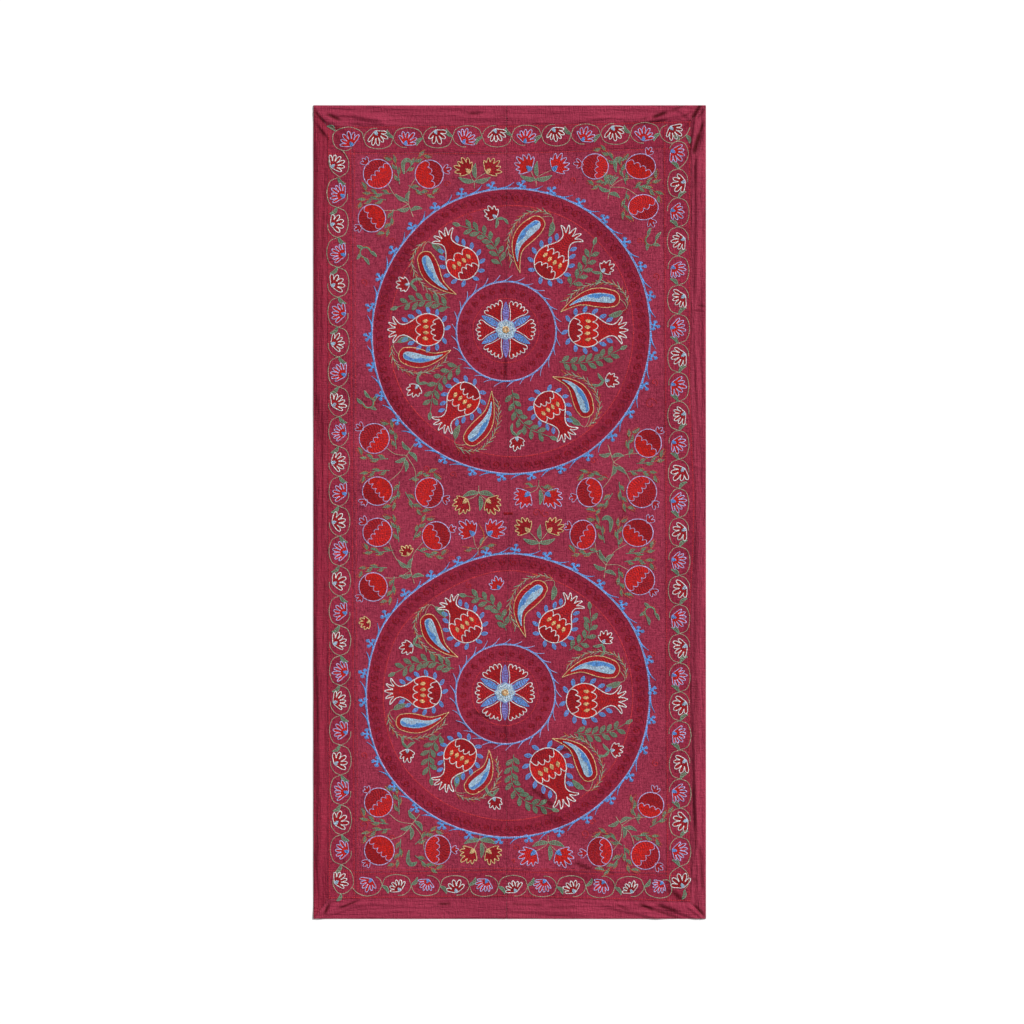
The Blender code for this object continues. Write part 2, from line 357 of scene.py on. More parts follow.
def handloom(name, ground, deep, crimson, roughness, slub, mottle, streak=None):
    """Plain weave in silk and cotton: slubs both ways, a crinkle from the stitching, a broken dye, and
    painted shade that darkens it to a crease red in the seam grooves and tucks. The threads are about 0.6 mm
    apart on such cloth and drawn 2.4 mm apart, so that they show."""
    material, tree, shader = blank_material(name)
    place = add(tree, "ShaderNodeTexCoord").outputs["Object"]
    warp = stretched_noise(tree, place, 2.4, 22, True)
    weft = stretched_noise(tree, place, 2.4, 22, False)
    both = add(tree, "ShaderNodeMath", {0: warp, 1: weft}, operation="ADD").outputs[0]
    thread = add(tree, "ShaderNodeMapRange", {"Value": both, "From Min": 0.8, "From Max": 1.2,
                                              "To Min": 1 - slub, "To Max": 1 + slub}).outputs[0]
    patches = add(tree, "ShaderNodeTexNoise", {"Vector": place, "Scale": 6.0, "Detail": 3.0}).outputs["Fac"]
    crinkle = add(tree, "ShaderNodeTexNoise", {"Vector": place, "Scale": 165.0, "Detail": 2.0,
                                               "Roughness": 0.6, "Distortion": 1.6}).outputs["Fac"]
    speck = add(tree, "ShaderNodeMapRange", {"Value": crinkle, "From Min": 0.42, "From Max": 0.66,
                                             "To Min": 0.0, "To Max": mottle}).outputs[0]
    uneven = add(tree, "ShaderNodeMapRange", {"Value": patches, "From Min": 0.35, "From Max": 0.65,
                                              "To Min": 0.0, "To Max": 0.22}).outputs[0]
    dye = add(tree, "ShaderNodeAttribute", attribute_name="crimson").outputs["Fac"]
    base = add(tree, "ShaderNodeMix", {"Factor": dye, 6: linear(ground), 7: linear(crimson)},
               data_type="RGBA")
    darker = add(tree, "ShaderNodeMath", {0: uneven, 1: speck}, operation="ADD").outputs[0]
    mixed = add(tree, "ShaderNodeMix", {"Factor": darker, 6: base.outputs[2], 7: linear(deep)},
                data_type="RGBA")
    # Painted shade: the seam attribute mixes the cloth towards a dark crease red in seam grooves and tucks
    groove = add(tree, "ShaderNodeAttribute", attribute_name="seam").outputs["Fac"]
    shaded_crease = add(tree, "ShaderNodeMix", {"Factor": groove, 6: mixed.outputs[2], 7: linear(PAINTED_CREASE_SHADE)},
                 data_type="RGBA")
    final = add(tree, "ShaderNodeVectorMath", {0: shaded_crease.outputs[2], "Scale": thread}, operation="SCALE")
    tree.links.new(final.outputs[0], shader.inputs["Base Color"])
    relief = add(tree, "ShaderNodeMath", {0: crinkle, 1: both}, operation="ADD").outputs[0]
    bump = add(tree, "ShaderNodeBump", {"Height": relief, "Strength": 0.85, "Distance": 0.0024})
    if streak is not None:
        long = stretched_noise(tree, place, 14, 170, streak)
        wide = add(tree, "ShaderNodeBump", {"Height": long, "Strength": 1.0, "Distance": 0.008})
        tree.links.new(wide.outputs[0], bump.inputs["Normal"])
    tree.links.new(bump.outputs[0], shader.inputs["Normal"])
    shader.inputs["Roughness"].default_value = roughness
    shader.inputs["Specular IOR Level"].default_value = 0.08
    return material


# Crimson grounds inside the medallions: the middle of each, the middle of its rosette, and its rim (mm)
Ring = namedtuple("Ring", "x y heart_x heart_y radii")
RIM_UNEVEN = 4.0  # how far a ring drawn freehand strays from its oval, mm


def oval(half_wide, half_tall, seed):
    """Radii of a freehand oval every 30 degrees from the right, counter-clockwise (mm)."""
    turn = np.radians(np.arange(12) * 30)
    even = half_wide * half_tall / np.hypot(half_tall * np.cos(turn), half_wide * np.sin(turn))
    return even + np.random.default_rng(seed).normal(size=12) * RIM_UNEVEN


RINGS = {
    "upper": Ring(4, 461, -9, 460, oval(355, 367, 7)),
    "lower": Ring(-3, -464, -11, -464, oval(367, 360, 8)),
}
INNER_RING = 127
SCROLL_BAND = 44  # width of the band of scrolls inside each rim, mm


def ring_distance(ring, x, y):
    """Distance from the middle, and the ring's own radius on that bearing."""
    turn = np.degrees(np.arctan2(y - ring.y, x - ring.x)) % 360 / 30
    low = np.floor(turn).astype(int) % 12
    radii = ring.radii
    share = smooth(turn - np.floor(turn))
    return np.hypot(x - ring.x, y - ring.y), radii[low] + (radii[(low + 1) % 12] - radii[low]) * share


def crimson_share(x, y):
    """1 in the scroll band of each medallion, part of that round its rosette, 0 elsewhere."""
    share = np.zeros_like(x)
    for ring in RINGS.values():
        away, rim = ring_distance(ring, x, y)
        share = np.maximum(share, np.where((away < rim) & (away > rim - SCROLL_BAND), 0.8, 0.0))
        share = np.maximum(share, np.where(away < rim - SCROLL_BAND - 2, 0.35, 0.0))
        from_heart = np.hypot(x - ring.heart_x, y - ring.heart_y)
        share = np.maximum(share, np.where(from_heart < INNER_RING, 0.7, 0.0))
    return share


def planar_uv(mesh):
    """Lays the piece's own map flat over its outline, so that nothing overlaps or turns when it is baked."""
    points = np.empty(len(mesh.vertices) * 3)
    mesh.vertices.foreach_get("co", points)
    points = points.reshape(-1, 3)[:, :2]
    low, size = points.min(0), np.ptp(points, 0).max()
    corners = np.empty(len(mesh.loops), np.int32)
    mesh.loops.foreach_get("vertex_index", corners)
    flat = (points - low) / np.maximum(np.ptp(points, 0), size * 0.05)
    mesh.uv_layers.new(name="OFBake").data.foreach_set("uv", flat[corners].ravel())


def cloth(name, edge_a, edge_b, step, material):
    """A panel or strip: a grid laid between its two long edges, given its thickness straight up."""
    a, b = edge_points(edge_a, np.linspace(0, 1, 60)), edge_points(edge_b, np.linspace(0, 1, 60))
    width, length = np.hypot(*(b - a).T).mean(), np.hypot(*(a[-1] - a[0] + b[-1] - b[0])) / 2
    us, vs = grid_lines(width, step), grid_lines(length, step)
    bm = bmesh.new()
    bmesh.ops.create_grid(bm, x_segments=len(us) - 1, y_segments=len(vs) - 1, size=0.5)
    flat = np.array([v.co[:2] for v in bm.verts]) + 0.5
    u = us[np.rint(flat[:, 0] * (len(us) - 1)).astype(int)]
    v = vs[np.rint(flat[:, 1] * (len(vs) - 1)).astype(int)]
    end = 0.85 * SEAM_GAP / length
    a, b = edge_points(edge_a, end + v * (1 - 2 * end)), edge_points(edge_b, end + v * (1 - 2 * end))
    gap = SEAM_GAP / 2 / np.hypot(*(b - a).T)
    place = a + (b - a) * (gap + u * (1 - 2 * gap))[:, None]
    under = lift(*place.T)
    for vert, (x, y), z in zip(bm.verts, place, under):
        vert.co = x * MM, y * MM, z * MM
    raised = bmesh.ops.extrude_face_region(bm, geom=bm.faces[:])
    faces_up = [v for v in raised["geom"] if isinstance(v, bmesh.types.BMVert)]
    spots = np.array([v.co[:2] for v in faces_up]) / MM
    for vert, z in zip(faces_up, top(*spots.T)):
        vert.co.z = z * MM
    bmesh.ops.recalc_face_normals(bm, faces=bm.faces[:])
    upper = set(faces_up)
    under = [v for v in bm.verts if v not in upper]
    inner = [e for v in under for e in v.link_edges if e.other_vert(v) not in upper]
    bmesh.ops.dissolve_limit(bm, angle_limit=math.radians(0.4), verts=under, edges=list(set(inner)))
    mesh = bpy.data.meshes.new(name)
    bm.to_mesh(mesh)
    bm.free()
    points = np.empty(len(mesh.vertices) * 3)
    mesh.vertices.foreach_get("co", points)
    x, y = points.reshape(-1, 3)[:, :2].T / MM
    mesh.attributes.new("crimson", "FLOAT", "POINT").data.foreach_set("value", crimson_share(x, y))
    # Painted shade for the crease red: a little next to each seam and strong deep in each tuck, where the
    # grooves lie in shade
    seam = np.maximum(0.22 * np.exp(-((seam_distance(x, y) / 1.6) ** 2)), np.clip(tucked(x, y) / 1.8, 0, 1))
    mesh.attributes.new("seam", "FLOAT", "POINT").data.foreach_set("value", seam)
    planar_uv(mesh)
    mesh.materials.append(material)
    mesh.shade_smooth()
    mesh.set_sharp_from_angle(angle=math.radians(60))
    made = bpy.data.objects.new("cloth_" + name, mesh)
    bpy.context.scene.collection.objects.link(made)
    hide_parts(name)
    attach(made, "root")


GROUND, DEEP, CRIMSON = "#A93A53", "#5E0E26", "#99243B"
PAINTED_CREASE_SHADE = "#4E0A14"  # painted shade: the dark red painted in the bottom of seam grooves and tucks
field_weave = handloom("handloom_ground", GROUND, DEEP, CRIMSON, 0.7, 0.08, 0.6)
FIELD_STEP = 5.8
for name, edge_a, edge_b in (("field_left", "band_left", "centre"), ("field_right", "centre", "band_right")):
    ends = "band_bottom", "band_top"
    cloth(name, (edge_a, *ends), (edge_b, *ends), FIELD_STEP, field_weave)

# ---------------------------------------------------------------- vine bands
# Strips of the same handloom, about 7 cm wide, sewn round the field: two run the full height at the sides,
# and each end has two between them, pieced at the centre seam.
band_weave = handloom("handloom_band", "#A33049", DEEP, CRIMSON, 0.7, 0.08, 0.58)
BAND_STEP = 5.6
FULL_HEIGHT = "margin_bottom", "margin_top"
LEFT_HALF, RIGHT_HALF = ("band_left", "centre"), ("centre", "band_right")
BANDS = {
    "band_left": (("margin_left", *FULL_HEIGHT), ("band_left", *FULL_HEIGHT)),
    "band_right": (("band_right", *FULL_HEIGHT), ("margin_right", *FULL_HEIGHT)),
    "band_top_left": (("band_top", *LEFT_HALF), ("margin_top", *LEFT_HALF)),
    "band_top_right": (("band_top", *RIGHT_HALF), ("margin_top", *RIGHT_HALF)),
    "band_bottom_left": (("margin_bottom", *LEFT_HALF), ("band_bottom", *LEFT_HALF)),
    "band_bottom_right": (("margin_bottom", *RIGHT_HALF), ("band_bottom", *RIGHT_HALF)),
}
for name, (edge_a, edge_b) in BANDS.items():
    cloth(name, edge_a, edge_b, BAND_STEP, band_weave)

# ---------------------------------------------------------------- plain border
# A narrow border of smoother silk-faced cloth in the same dye, mitred at the corners, its outer edge turned
# under as a hem. It has the most pulls and ripples, because nothing stiffens it.
end_weave = handloom("silk_border_ends", "#A4344E", "#701630", CRIMSON, 0.45, 0.08, 0.25, False)
# Painted shade: the side strips get darker copies of the border colour, the left one darkest, for the silk's
# sheen that changes with the warp's direction and for light that is weaker to the left
left_weave_shaded = handloom("silk_border_left_shaded", "#94263D", "#641028", CRIMSON, 0.45, 0.08, 0.25, True)
right_weave_shaded = handloom("silk_border_right_shaded", "#A0344C", "#6A1430", CRIMSON, 0.45, 0.08, 0.25, True)
MARGIN_STEP = 3.6
# Each strip is mitred, so its outer edge runs to the cloth's corners and its inner edge to the band's
OUTER_HEIGHT = "edge_bottom", "edge_top"
MARGINS = {
    "margin_left": (("edge_left", *OUTER_HEIGHT), ("margin_left", *FULL_HEIGHT)),
    "margin_right": (("margin_right", *FULL_HEIGHT), ("edge_right", *OUTER_HEIGHT)),
    "margin_top_left": (("margin_top", "margin_left", "centre"), ("edge_top", "edge_left", "centre")),
    "margin_top_right": (("margin_top", "centre", "margin_right"), ("edge_top", "centre", "edge_right")),
    "margin_bottom_left": (("edge_bottom", "edge_left", "centre"),
                           ("margin_bottom", "margin_left", "centre")),
    "margin_bottom_right": (("edge_bottom", "centre", "edge_right"),
                            ("margin_bottom", "centre", "margin_right")),
}
for name, (edge_a, edge_b) in MARGINS.items():
    weave = {"margin_left": left_weave_shaded, "margin_right": right_weave_shaded}.get(name, end_weave)
    cloth(name, edge_a, edge_b, MARGIN_STEP, weave)

# ---------------------------------------------------------------- stem-stitched rings
# Two thorny rings of blue and lavender silk make each medallion, with clover buds between the outer thorns.
# All is loose silk floss in chain stitch, each loop a small raised grain, row beside row.
THREADS = {
    "scarlet": "#D4220F",
    "ruby": "#B21C1A",
    "dark_red": "#A51717",
    "burgundy": "#801A34",
    "brick": "#BC323A",
    "madder": "#B42C34",
    "gold": "#E8C692",
    "orange": "#C06A42",
    "white": "#F6F5FC",
    "pale_blue": "#B4D2F2",
    "blue": "#66A0E2",
    "violet": "#8688D2",
    "lavender": "#BEB8EC",
    "green": "#6B967B",
    "sage": "#8CB097",
    "olive": "#A8A48E",
    "tan": "#B5A28C",
}


def floss(thread):
    """Untwisted silk: bright, slightly uneven in its dye from stitch to stitch, with a soft gleam; painted
    shade darkens each stitch towards its foot.
    """
    known = bpy.data.materials.get("floss_" + thread)
    if known:
        return known
    material, tree, shader = blank_material("floss_" + thread)
    colour = linear(THREADS[thread])
    tone_and_foot_shade = add(tree, "ShaderNodeAttribute", attribute_name="tone_and_foot_shade").outputs["Fac"]
    dark = [c * 0.5 for c in colour[:3]] + [1.0]
    light = [min(1.0, c * 1.3) for c in colour[:3]] + [1.0]
    mixed = add(tree, "ShaderNodeMix", {"Factor": tone_and_foot_shade, 6: dark, 7: light}, data_type="RGBA")
    tree.links.new(mixed.outputs[2], shader.inputs["Base Color"])
    shader.inputs["Roughness"].default_value = 0.5
    shader.inputs["Specular IOR Level"].default_value = 0.15
    return material


def grain():
    """One stitch, a unit long and wide: a block whose upper face is drawn in to a short ridge."""
    bm = bmesh.new()
    bmesh.ops.create_cube(bm, size=1.0)
    for vert in bm.verts:
        if vert.co.z > 0:
            vert.co = vert.co.x * 0.5, 0.0, 1.0
        else:
            vert.co.z = 0.0
    bmesh.ops.remove_doubles(bm, verts=bm.verts[:], dist=0.01)
    bmesh.ops.triangulate(bm, faces=bm.faces[:])
    bmesh.ops.recalc_face_normals(bm, faces=bm.faces[:])
    points = np.array([v.co[:] for v in bm.verts])
    corners = np.array([[v.index for v in f.verts] for f in bm.faces])
    bm.free()
    return points, corners


GRAIN_POINTS, GRAIN_CORNERS = grain()
SUNK = 0.35  # how deep a stitch's foot sits in the cloth, mm
DRAWN_LONGER = 1.17  # stitches are a little longer than life, so that fewer cover the cloth


def along(path, pitch, closed=False):
    """Even stitches along a path: rows of (x, y, bearing, length)."""
    path = np.asarray(path, float)
    if closed:
        path = np.concatenate([path, path[:1]])
    steps = np.hypot(*np.diff(path, axis=0).T)
    run = np.concatenate([[0.0], np.cumsum(steps)])
    count = max(1, round(run[-1] / pitch))
    size = run[-1] / count
    middle = (np.arange(count) + 0.5) * size
    ends = [np.stack([np.interp(middle + half, run, path[:, k]) for k in (0, 1)], 1)
            for half in (-size / 2, size / 2)]
    chord = ends[1] - ends[0]
    spot = (ends[0] + ends[1]) / 2
    return np.column_stack([spot, np.arctan2(chord[:, 1], chord[:, 0]), np.full(count, size)])


def rows_in(outline, bearing, gap, pitch):
    """Parallel rows of stitches that fill a closed outline."""
    turn = math.radians(bearing)
    spin = np.array([[math.cos(turn), math.sin(turn)], [-math.sin(turn), math.cos(turn)]])
    starts = outline @ spin.T
    stops = np.roll(starts, -1, axis=0)
    found = [np.empty((0, 4))]
    for index, level in enumerate(np.arange(starts[:, 1].min() + gap * 0.4, starts[:, 1].max(), gap)):
        hit = (starts[:, 1] > level) != (stops[:, 1] > level)
        share = (level - starts[hit, 1]) / (stops[hit, 1] - starts[hit, 1])
        cuts = np.sort(starts[hit, 0] + share * (stops[hit, 0] - starts[hit, 0]))
        for low, high in zip(cuts[::2], cuts[1::2]):
            if high - low < 0.8:
                continue
            size = (high - low) / max(1, round((high - low) / pitch))
            marks = np.clip(np.arange(low - size * (index * 0.618 % 1), high + size, size), low, high)
            marks = marks[np.diff(marks, append=high + 1) > 0.9]
            middle, size = (marks[1:] + marks[:-1]) / 2, np.diff(marks)
            level_with = np.full(len(middle), level)
            found.append(np.column_stack([middle, level_with, np.full(len(middle), turn), size]))
    rows = np.concatenate(found)
    rows[:, :2] = rows[:, :2] @ spin
    return rows


class Work:
    def __init__(self, name, seed):
        self.name, self.rng, self.laid = name, np.random.default_rng(seed), {}

    def lay(self, thread, rows, width, level=0.0, height=1.0):
        """Lays a stitch on each row, a little uneven in place, direction and width."""
        uneven = self.rng.normal(size=(len(rows), 4))
        table = np.column_stack([rows, np.zeros((len(rows), 4))])
        table[:, :2] += uneven[:, :2] * 0.14
        table[:, 2] += uneven[:, 2] * 0.05
        table[:, 4] = width * (1 + uneven[:, 3] * 0.05)
        table[:, 5], table[:, 6], table[:, 7] = level, height, 0.62 + uneven[:, 3] * 0.18
        self.laid.setdefault(thread, []).append(table)

    def run(self, thread, path, width=2.5, pitch=4.0, level=0.3, closed=False, height=1.1):
        """One row of chain stitch along a path; a pair of widths tapers it."""
        rows = along(path, pitch * DRAWN_LONGER, closed)
        if isinstance(width, tuple):
            width = np.linspace(*width, len(rows))
        self.lay(thread, rows, width, level, height)

    def fill(self, thread, outline, bearing=0.0, level=0.0, gap=2.45, pitch=5.6):
        """Rows of chain stitch side by side inside an outline."""
        self.lay(thread, rows_in(outline, bearing, gap, pitch * DRAWN_LONGER), gap * 1.05, level)

    def finish(self):
        for thread, tables in self.laid.items():
            x, y, bearing, length, width, level, height, tone_and_foot_shade = np.concatenate(tables).T[:, :, None]
            px, py, pz = GRAIN_POINTS.T
            ahead, aside = px * length * 1.06, py * width
            wx = x + np.cos(bearing) * ahead - np.sin(bearing) * aside
            wy = y + np.sin(bearing) * ahead + np.cos(bearing) * aside
            wz = top(wx.ravel(), wy.ravel()).reshape(wx.shape) + level + pz * (height + SUNK) - SUNK
            points = np.stack([wx, wy, wz], 2).reshape(-1, 3) * MM
            corners = (np.arange(len(x))[:, None, None] * len(px) + GRAIN_CORNERS).reshape(-1, 3)
            mesh = bpy.data.meshes.new(f"{self.name}_{thread}")
            mesh.from_pydata(points, [], corners.tolist())
            # Painted shade: darker at the foot of each stitch, where it meets the cloth and its neighbours
            shade = np.clip(tone_and_foot_shade - 0.42 * (pz < 0.5), 0, 1).ravel()
            mesh.attributes.new("tone_and_foot_shade", "FLOAT", "POINT").data.foreach_set("value", shade)
            planar_uv(mesh)
            mesh.materials.append(floss(thread))
            mesh.shade_smooth()
            made = bpy.data.objects.new(mesh.name, mesh)
            bpy.context.scene.collection.objects.link(made)
            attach(made, "root")


def curve(points, closed=False, n=8):
    """A smooth path through given points (Catmull-Rom)."""
    p = np.asarray(points, float)
    if closed:
        p = np.concatenate([p[-1:], p, p[:2]])
    else:
        p = np.concatenate([2 * p[:1] - p[1:2], p, 2 * p[-1:] - p[-2:-1]])
    t = np.linspace(0, 1, n, endpoint=False)[:, None]
    spans = []
    for a, b, c, d in zip(p, p[1:], p[2:], p[3:]):
        square, cube = 2 * a - 5 * b + 4 * c - d, 3 * b - a - 3 * c + d
        spans.append(0.5 * (2 * b + (c - a) * t + square * t**2 + cube * t**3))
    return np.concatenate(spans if closed else [*spans, p[-2:-1]])


def polar(radius, bearing):
    turn = np.radians(bearing)
    return np.stack([radius * np.cos(turn), radius * np.sin(turn)], -1)


def placed(points, x, y, bearing=0.0, size=1.0, flip=1):
    """Turns a motif's own points to a bearing and moves them to their place on the cloth."""
    p = np.asarray(points, float) * (size, size * flip)
    turn = math.radians(bearing)
    spin = np.array([[math.cos(turn), math.sin(turn)], [-math.sin(turn), math.cos(turn)]])
    return p @ spin + (x, y)


def ring_path(ring, inset=0.0):
    """The closed outline of a medallion's outer ring, drawn in by a distance."""
    return curve(polar(ring.radii - inset, np.arange(12) * 30) + (ring.x, ring.y), closed=True, n=16)


def circle(x, y, rx, ry=None, n=72):
    turn = np.radians(np.arange(n) * 360 / n)
    return np.stack([x + rx * np.cos(turn), y + (ry or rx) * np.sin(turn)], 1)


def thorn(work, thread, x, y, tangent, out, ahead, width=4.6):
    """A curved thorn that leaves the ring gently, then turns outwards; it leans clockwise."""
    steps = [(-0.5, 0.0), (0.0, 0.12), (0.5, 0.45), (1.0, 1.0)]
    path = [polar(a * ahead, tangent + 180) + polar(o * out, tangent - 90) + (x, y) for a, o in steps]
    work.run(thread, curve(path), (width, 1.5), level=0.2)


def clover(work, x, y, tangent):
    """A short stem with three round buds, leaning clockwise."""
    lean = tangent - 90 - 30 + work.rng.normal() * 7
    foot = polar(10.0, lean - 10) + (x, y)
    work.run("blue", curve([polar(5.0, tangent) + (x, y), (x, y), foot]), (4.4, 3.6), level=0.15)
    work.fill("blue", circle(*foot, 4.5, n=14), lean, 0.1, 2.2, 3.6)
    for off, reach in ((-80, 9.5), (0, 11.5), (82, 9.0)):
        bud = circle(*(polar(reach * work.rng.uniform(0.9, 1.1), lean + off) + foot), 5.3, 4.3, 16)
        work.run("blue", [foot, bud.mean(0)], 5.0, 3.0, 0.1)
        work.fill("blue", bud, lean + off, 0.1, 2.2, 3.6)


def medallion_rings(name, seed):
    """The clover ring, the thin red line inside it and the small thorny ring round the rosette."""
    ring = RINGS[name]
    work = Work(name + "_rings", seed)
    outer = ring_path(ring)
    work.run("blue", ring_path(ring, -0.6), 3.0, closed=True, level=0.25)
    work.run("lavender", ring_path(ring, 1.6), 2.3, closed=True, level=0.3)
    work.run("brick", ring_path(ring, SCROLL_BAND), 4.0, closed=True, level=0.0, height=0.6)
    for index, (x, y, turn, _) in enumerate(along(outer, 37.6, closed=True)):
        tangent = math.degrees(turn)
        if index % 2:
            thorn(work, "blue", x, y, tangent, 15 + work.rng.normal(), 25 + 2 * work.rng.normal(), 6.4)
        else:
            clover(work, x, y, tangent)
            swelling = curve([polar(18.0, tangent) + (x, y), polar(2.4, tangent - 90) + (x, y)])
            work.run("blue", swelling, (1.6, 3.4))
    x, y = ring.heart_x, ring.heart_y
    work.run("blue", circle(x, y, INNER_RING + 1), 2.6, closed=True, level=0.2)
    work.run("lavender", circle(x, y, INNER_RING - 1.2), 2.2, closed=True, level=0.25)
    for index, (x, y, turn, _) in enumerate(along(circle(x, y, INNER_RING), 27.5, closed=True)):
        size = work.rng.uniform(0.85, 1.15)
        thorn(work, "blue", x, y, math.degrees(turn), 12 * size, 19 * size, 4.0)
        thorn(work, "lavender", x, y, math.degrees(turn), 14 * size, 21 * size, 2.0)
    round_rosette = circle(ring.heart_x - 1, ring.heart_y + 2, 84, 82)
    work.run("brick", round_rosette, 3.2, closed=True, level=0.0, height=0.6)
    work.finish()


medallion_rings("upper", 11)
medallion_rings("lower", 12)

# ---------------------------------------------------------------- tone-on-tone scrolls
# Little spirals of burgundy floss run round each medallion between its ring and the thin red line, with more
# round the rosette. They are close to the ground's own colour, so they show mainly by their relief. Each has
# a brighter copy in ruby or brick set 2 mm off towards the left, the same way on every scroll, as a painted
# highlight.
def spiral(size, turns=1.35, n=22):
    t = np.linspace(0, 1, n)
    return polar(size * (1 - 0.8 * t), -90 + 360 * turns * t)


def scrolls(name, seed):
    ring = RINGS[name]
    work = Work(name + "_scrolls", seed)
    for index, (x, y, turn, _) in enumerate(along(ring_path(ring, SCROLL_BAND / 2), 26.5, closed=True)):
        size = 9.5 + work.rng.normal() * 0.7
        bearing = math.degrees(turn) + work.rng.normal() * 12
        path = placed(spiral(size), x, y, bearing)
        work.run("burgundy", path, (2.6, 2.0), 3.8, 0.05, height=1.2)
        # Painted highlight: a brighter copy of the spiral, set off the same way on every scroll
        work.run("brick" if index % 3 == 0 else "ruby", path + polar(2.1, 200.0), 1.6, 3.8, 0.0)
        tail = placed([(0, -size), (-9, -size - 2), (-15, -4), (-17, 6)], x, y, bearing)
        work.run("burgundy", curve(tail), 2.1, 3.8, 0.0, height=1.2)
    for index, (x, y, turn, _) in enumerate(along(circle(ring.heart_x, ring.heart_y, 106), 27, closed=True)):
        path = placed(spiral(8.5), x, y, math.degrees(turn) + work.rng.normal() * 20)
        work.run("burgundy", path, 2.2, 3.8, 0.05, height=1.1)
        # Painted highlight: a brighter copy of the spiral, set off the same way on every scroll
        work.run("ruby", path + polar(2.0, 200.0), 1.5, 3.8, 0.0)
    for bearing in np.arange(10, 370, 20):
        x, y = polar(340.0 + 12 * work.rng.normal(), bearing)
        if work.rng.random() < 0.3:
            path = placed(spiral(9), ring.x + 0.84 * x, ring.y + 0.84 * y, bearing + 90)
            work.run("ruby", path, 1.8, 3.8, 0.0)
    work.finish()


scrolls("upper", 21)
scrolls("lower", 22)

# ---------------------------------------------------------------- rosettes
# The flower at the heart of each medallion: a pale blue daisy with a golden eye, six lance petals in blue
# and violet, and between them six red fans edged in white.
def leaf(length, width, bend=0.0, blunt=0.8, n=13):
    """Outline of a pointed leaf from the origin towards +X."""
    t = np.linspace(0, 1, n)
    half = width / 2 * np.sin(np.pi * t**blunt) ** 0.85
    middle = bend * length * np.sin(np.pi * t)
    upper = np.stack([t * length, middle + half], 1)
    lower = np.stack([t * length, middle - half], 1)
    return np.concatenate([upper, lower[-2:0:-1]])


def rosette_fan(work, x, y, bearing):
    """One red fan: narrow at the daisy, its outer edge in five scallops."""
    side = [(21, 1), (34, 10), (50, 17), (63, 22)]
    points = [polar(r, a) for r, a in side]
    for lobe in (18, 9, 0, -9, -18):
        tall = work.rng.uniform(72, 77)
        points += [polar(tall - 4, lobe + 3.4), polar(tall, lobe), polar(tall - 4, lobe - 3.4)]
        if lobe > -18:
            points.append(polar(64, lobe - 4.5))
    points += [polar(r, -a) for r, a in side[::-1]]
    shape = placed(curve(points, closed=True, n=5), x, y, bearing)
    work.fill("ruby", shape, bearing, 0.0)
    work.run("white", shape, 2.4, 3.2, 0.4, True)


def rosette(name, seed):
    ring = RINGS[name]
    x, y = ring.heart_x - 1, ring.heart_y + 4
    work = Work(name + "_rosette", seed)
    for bearing in range(-90, 270, 60):
        thread = "blue" if bearing % 180 != 90 else "violet"
        shape = placed(leaf(54, 15, 0.0, 0.9), *(polar(17.0, bearing) + (x, y)), bearing)
        work.fill(thread, shape, bearing, 0.05)
        work.run(thread, shape, 2.0, closed=True, level=0.15)
        rosette_fan(work, x, y, bearing + 30)
    turn = np.arange(96) * 3.75
    petals = np.abs(np.cos(np.radians(turn * 4)))
    work.run("violet", polar(23 + 4 * petals, turn) + (x, y), 2.0, 3.4, 0.2, True)
    daisy = polar(20.5 + 4.5 * petals, turn) + (x, y)
    work.fill("pale_blue", daisy, 20, 0.8)
    work.run("pale_blue", daisy, 2.0, closed=True, level=0.9)
    for bearing in range(0, 360, 45):
        work.run("white", circle(*(polar(16.0, bearing) + (x, y)), 4.4, n=12), 1.6, 3.0, 1.3, True)
    work.fill("gold", circle(x, y, 9.5, n=24), 60, 1.5, 2.1)
    work.run("orange", circle(x, y, 6, n=20), 1.8, closed=True, level=1.9)
    work.finish()


rosette("upper", 31)
rosette("lower", 32)

# ---------------------------------------------------------------- tulip pomegranates
# Six big flowers stand round each rosette, half pomegranate and half tulip: a dark lobed cap, a scarlet
# belly with four gold seeds, and a dark neck that opens in curled petals. White edges, blue buds all round.
Flower = namedtuple("Flower", "x y bearing size lobes neck", defaults=(1.0,))
TULIPS = {
    "upper": [
        Flower(-119, 631, 126, 1.0, 3), Flower(104, 634, 54, 1.04, 5), Flower(191, 463, 0, 1.05, 4),
        Flower(100, 269, -57, 0.96, 4), Flower(-116, 290, -129, 1.0, 4), Flower(-207, 464, 180, 1.0, 3),
    ],
    "lower": [
        Flower(-111, -293, 126, 1.0, 4, 0.82), Flower(114, -293, 54, 1.0, 4, 0.9),
        Flower(187, -481, 2, 1.08, 4), Flower(96, -646, -62, 1.12, 5),
        Flower(-125, -618, -121, 1.0, 4), Flower(-214, -460, 178, 1.0, 4),
    ],
}
# One side of the flower, from the middle of its base up to the neck, then round its petals (x to the crown)
FLOWER_SIDE = [(-40, 0), (-38, 13), (-31, 26), (-18, 36), (0, 41), (16, 39), (30, 32), (42, 23), (54, 16),
               (65, 13)]
FLOWER_CROWN = [(74, 16), (82, 24), (90, 34), (89, 23), (81, 13), (91, 16), (102, 19), (94, 10), (83, 5),
                (95, 4), (106, 0)]


def lobed(x, half, bow, lobes, depth, n=10):
    """A scalloped line across a flower from -half to +half, bowed and lobed towards +X."""
    t = np.linspace(-1, 1, lobes * n + 1)
    bulge = np.abs(np.sin(np.pi * lobes * (t + 1) / 2)) ** 0.6
    return np.stack([x + bow * (1 - t**2) + depth * bulge, t * half], 1)


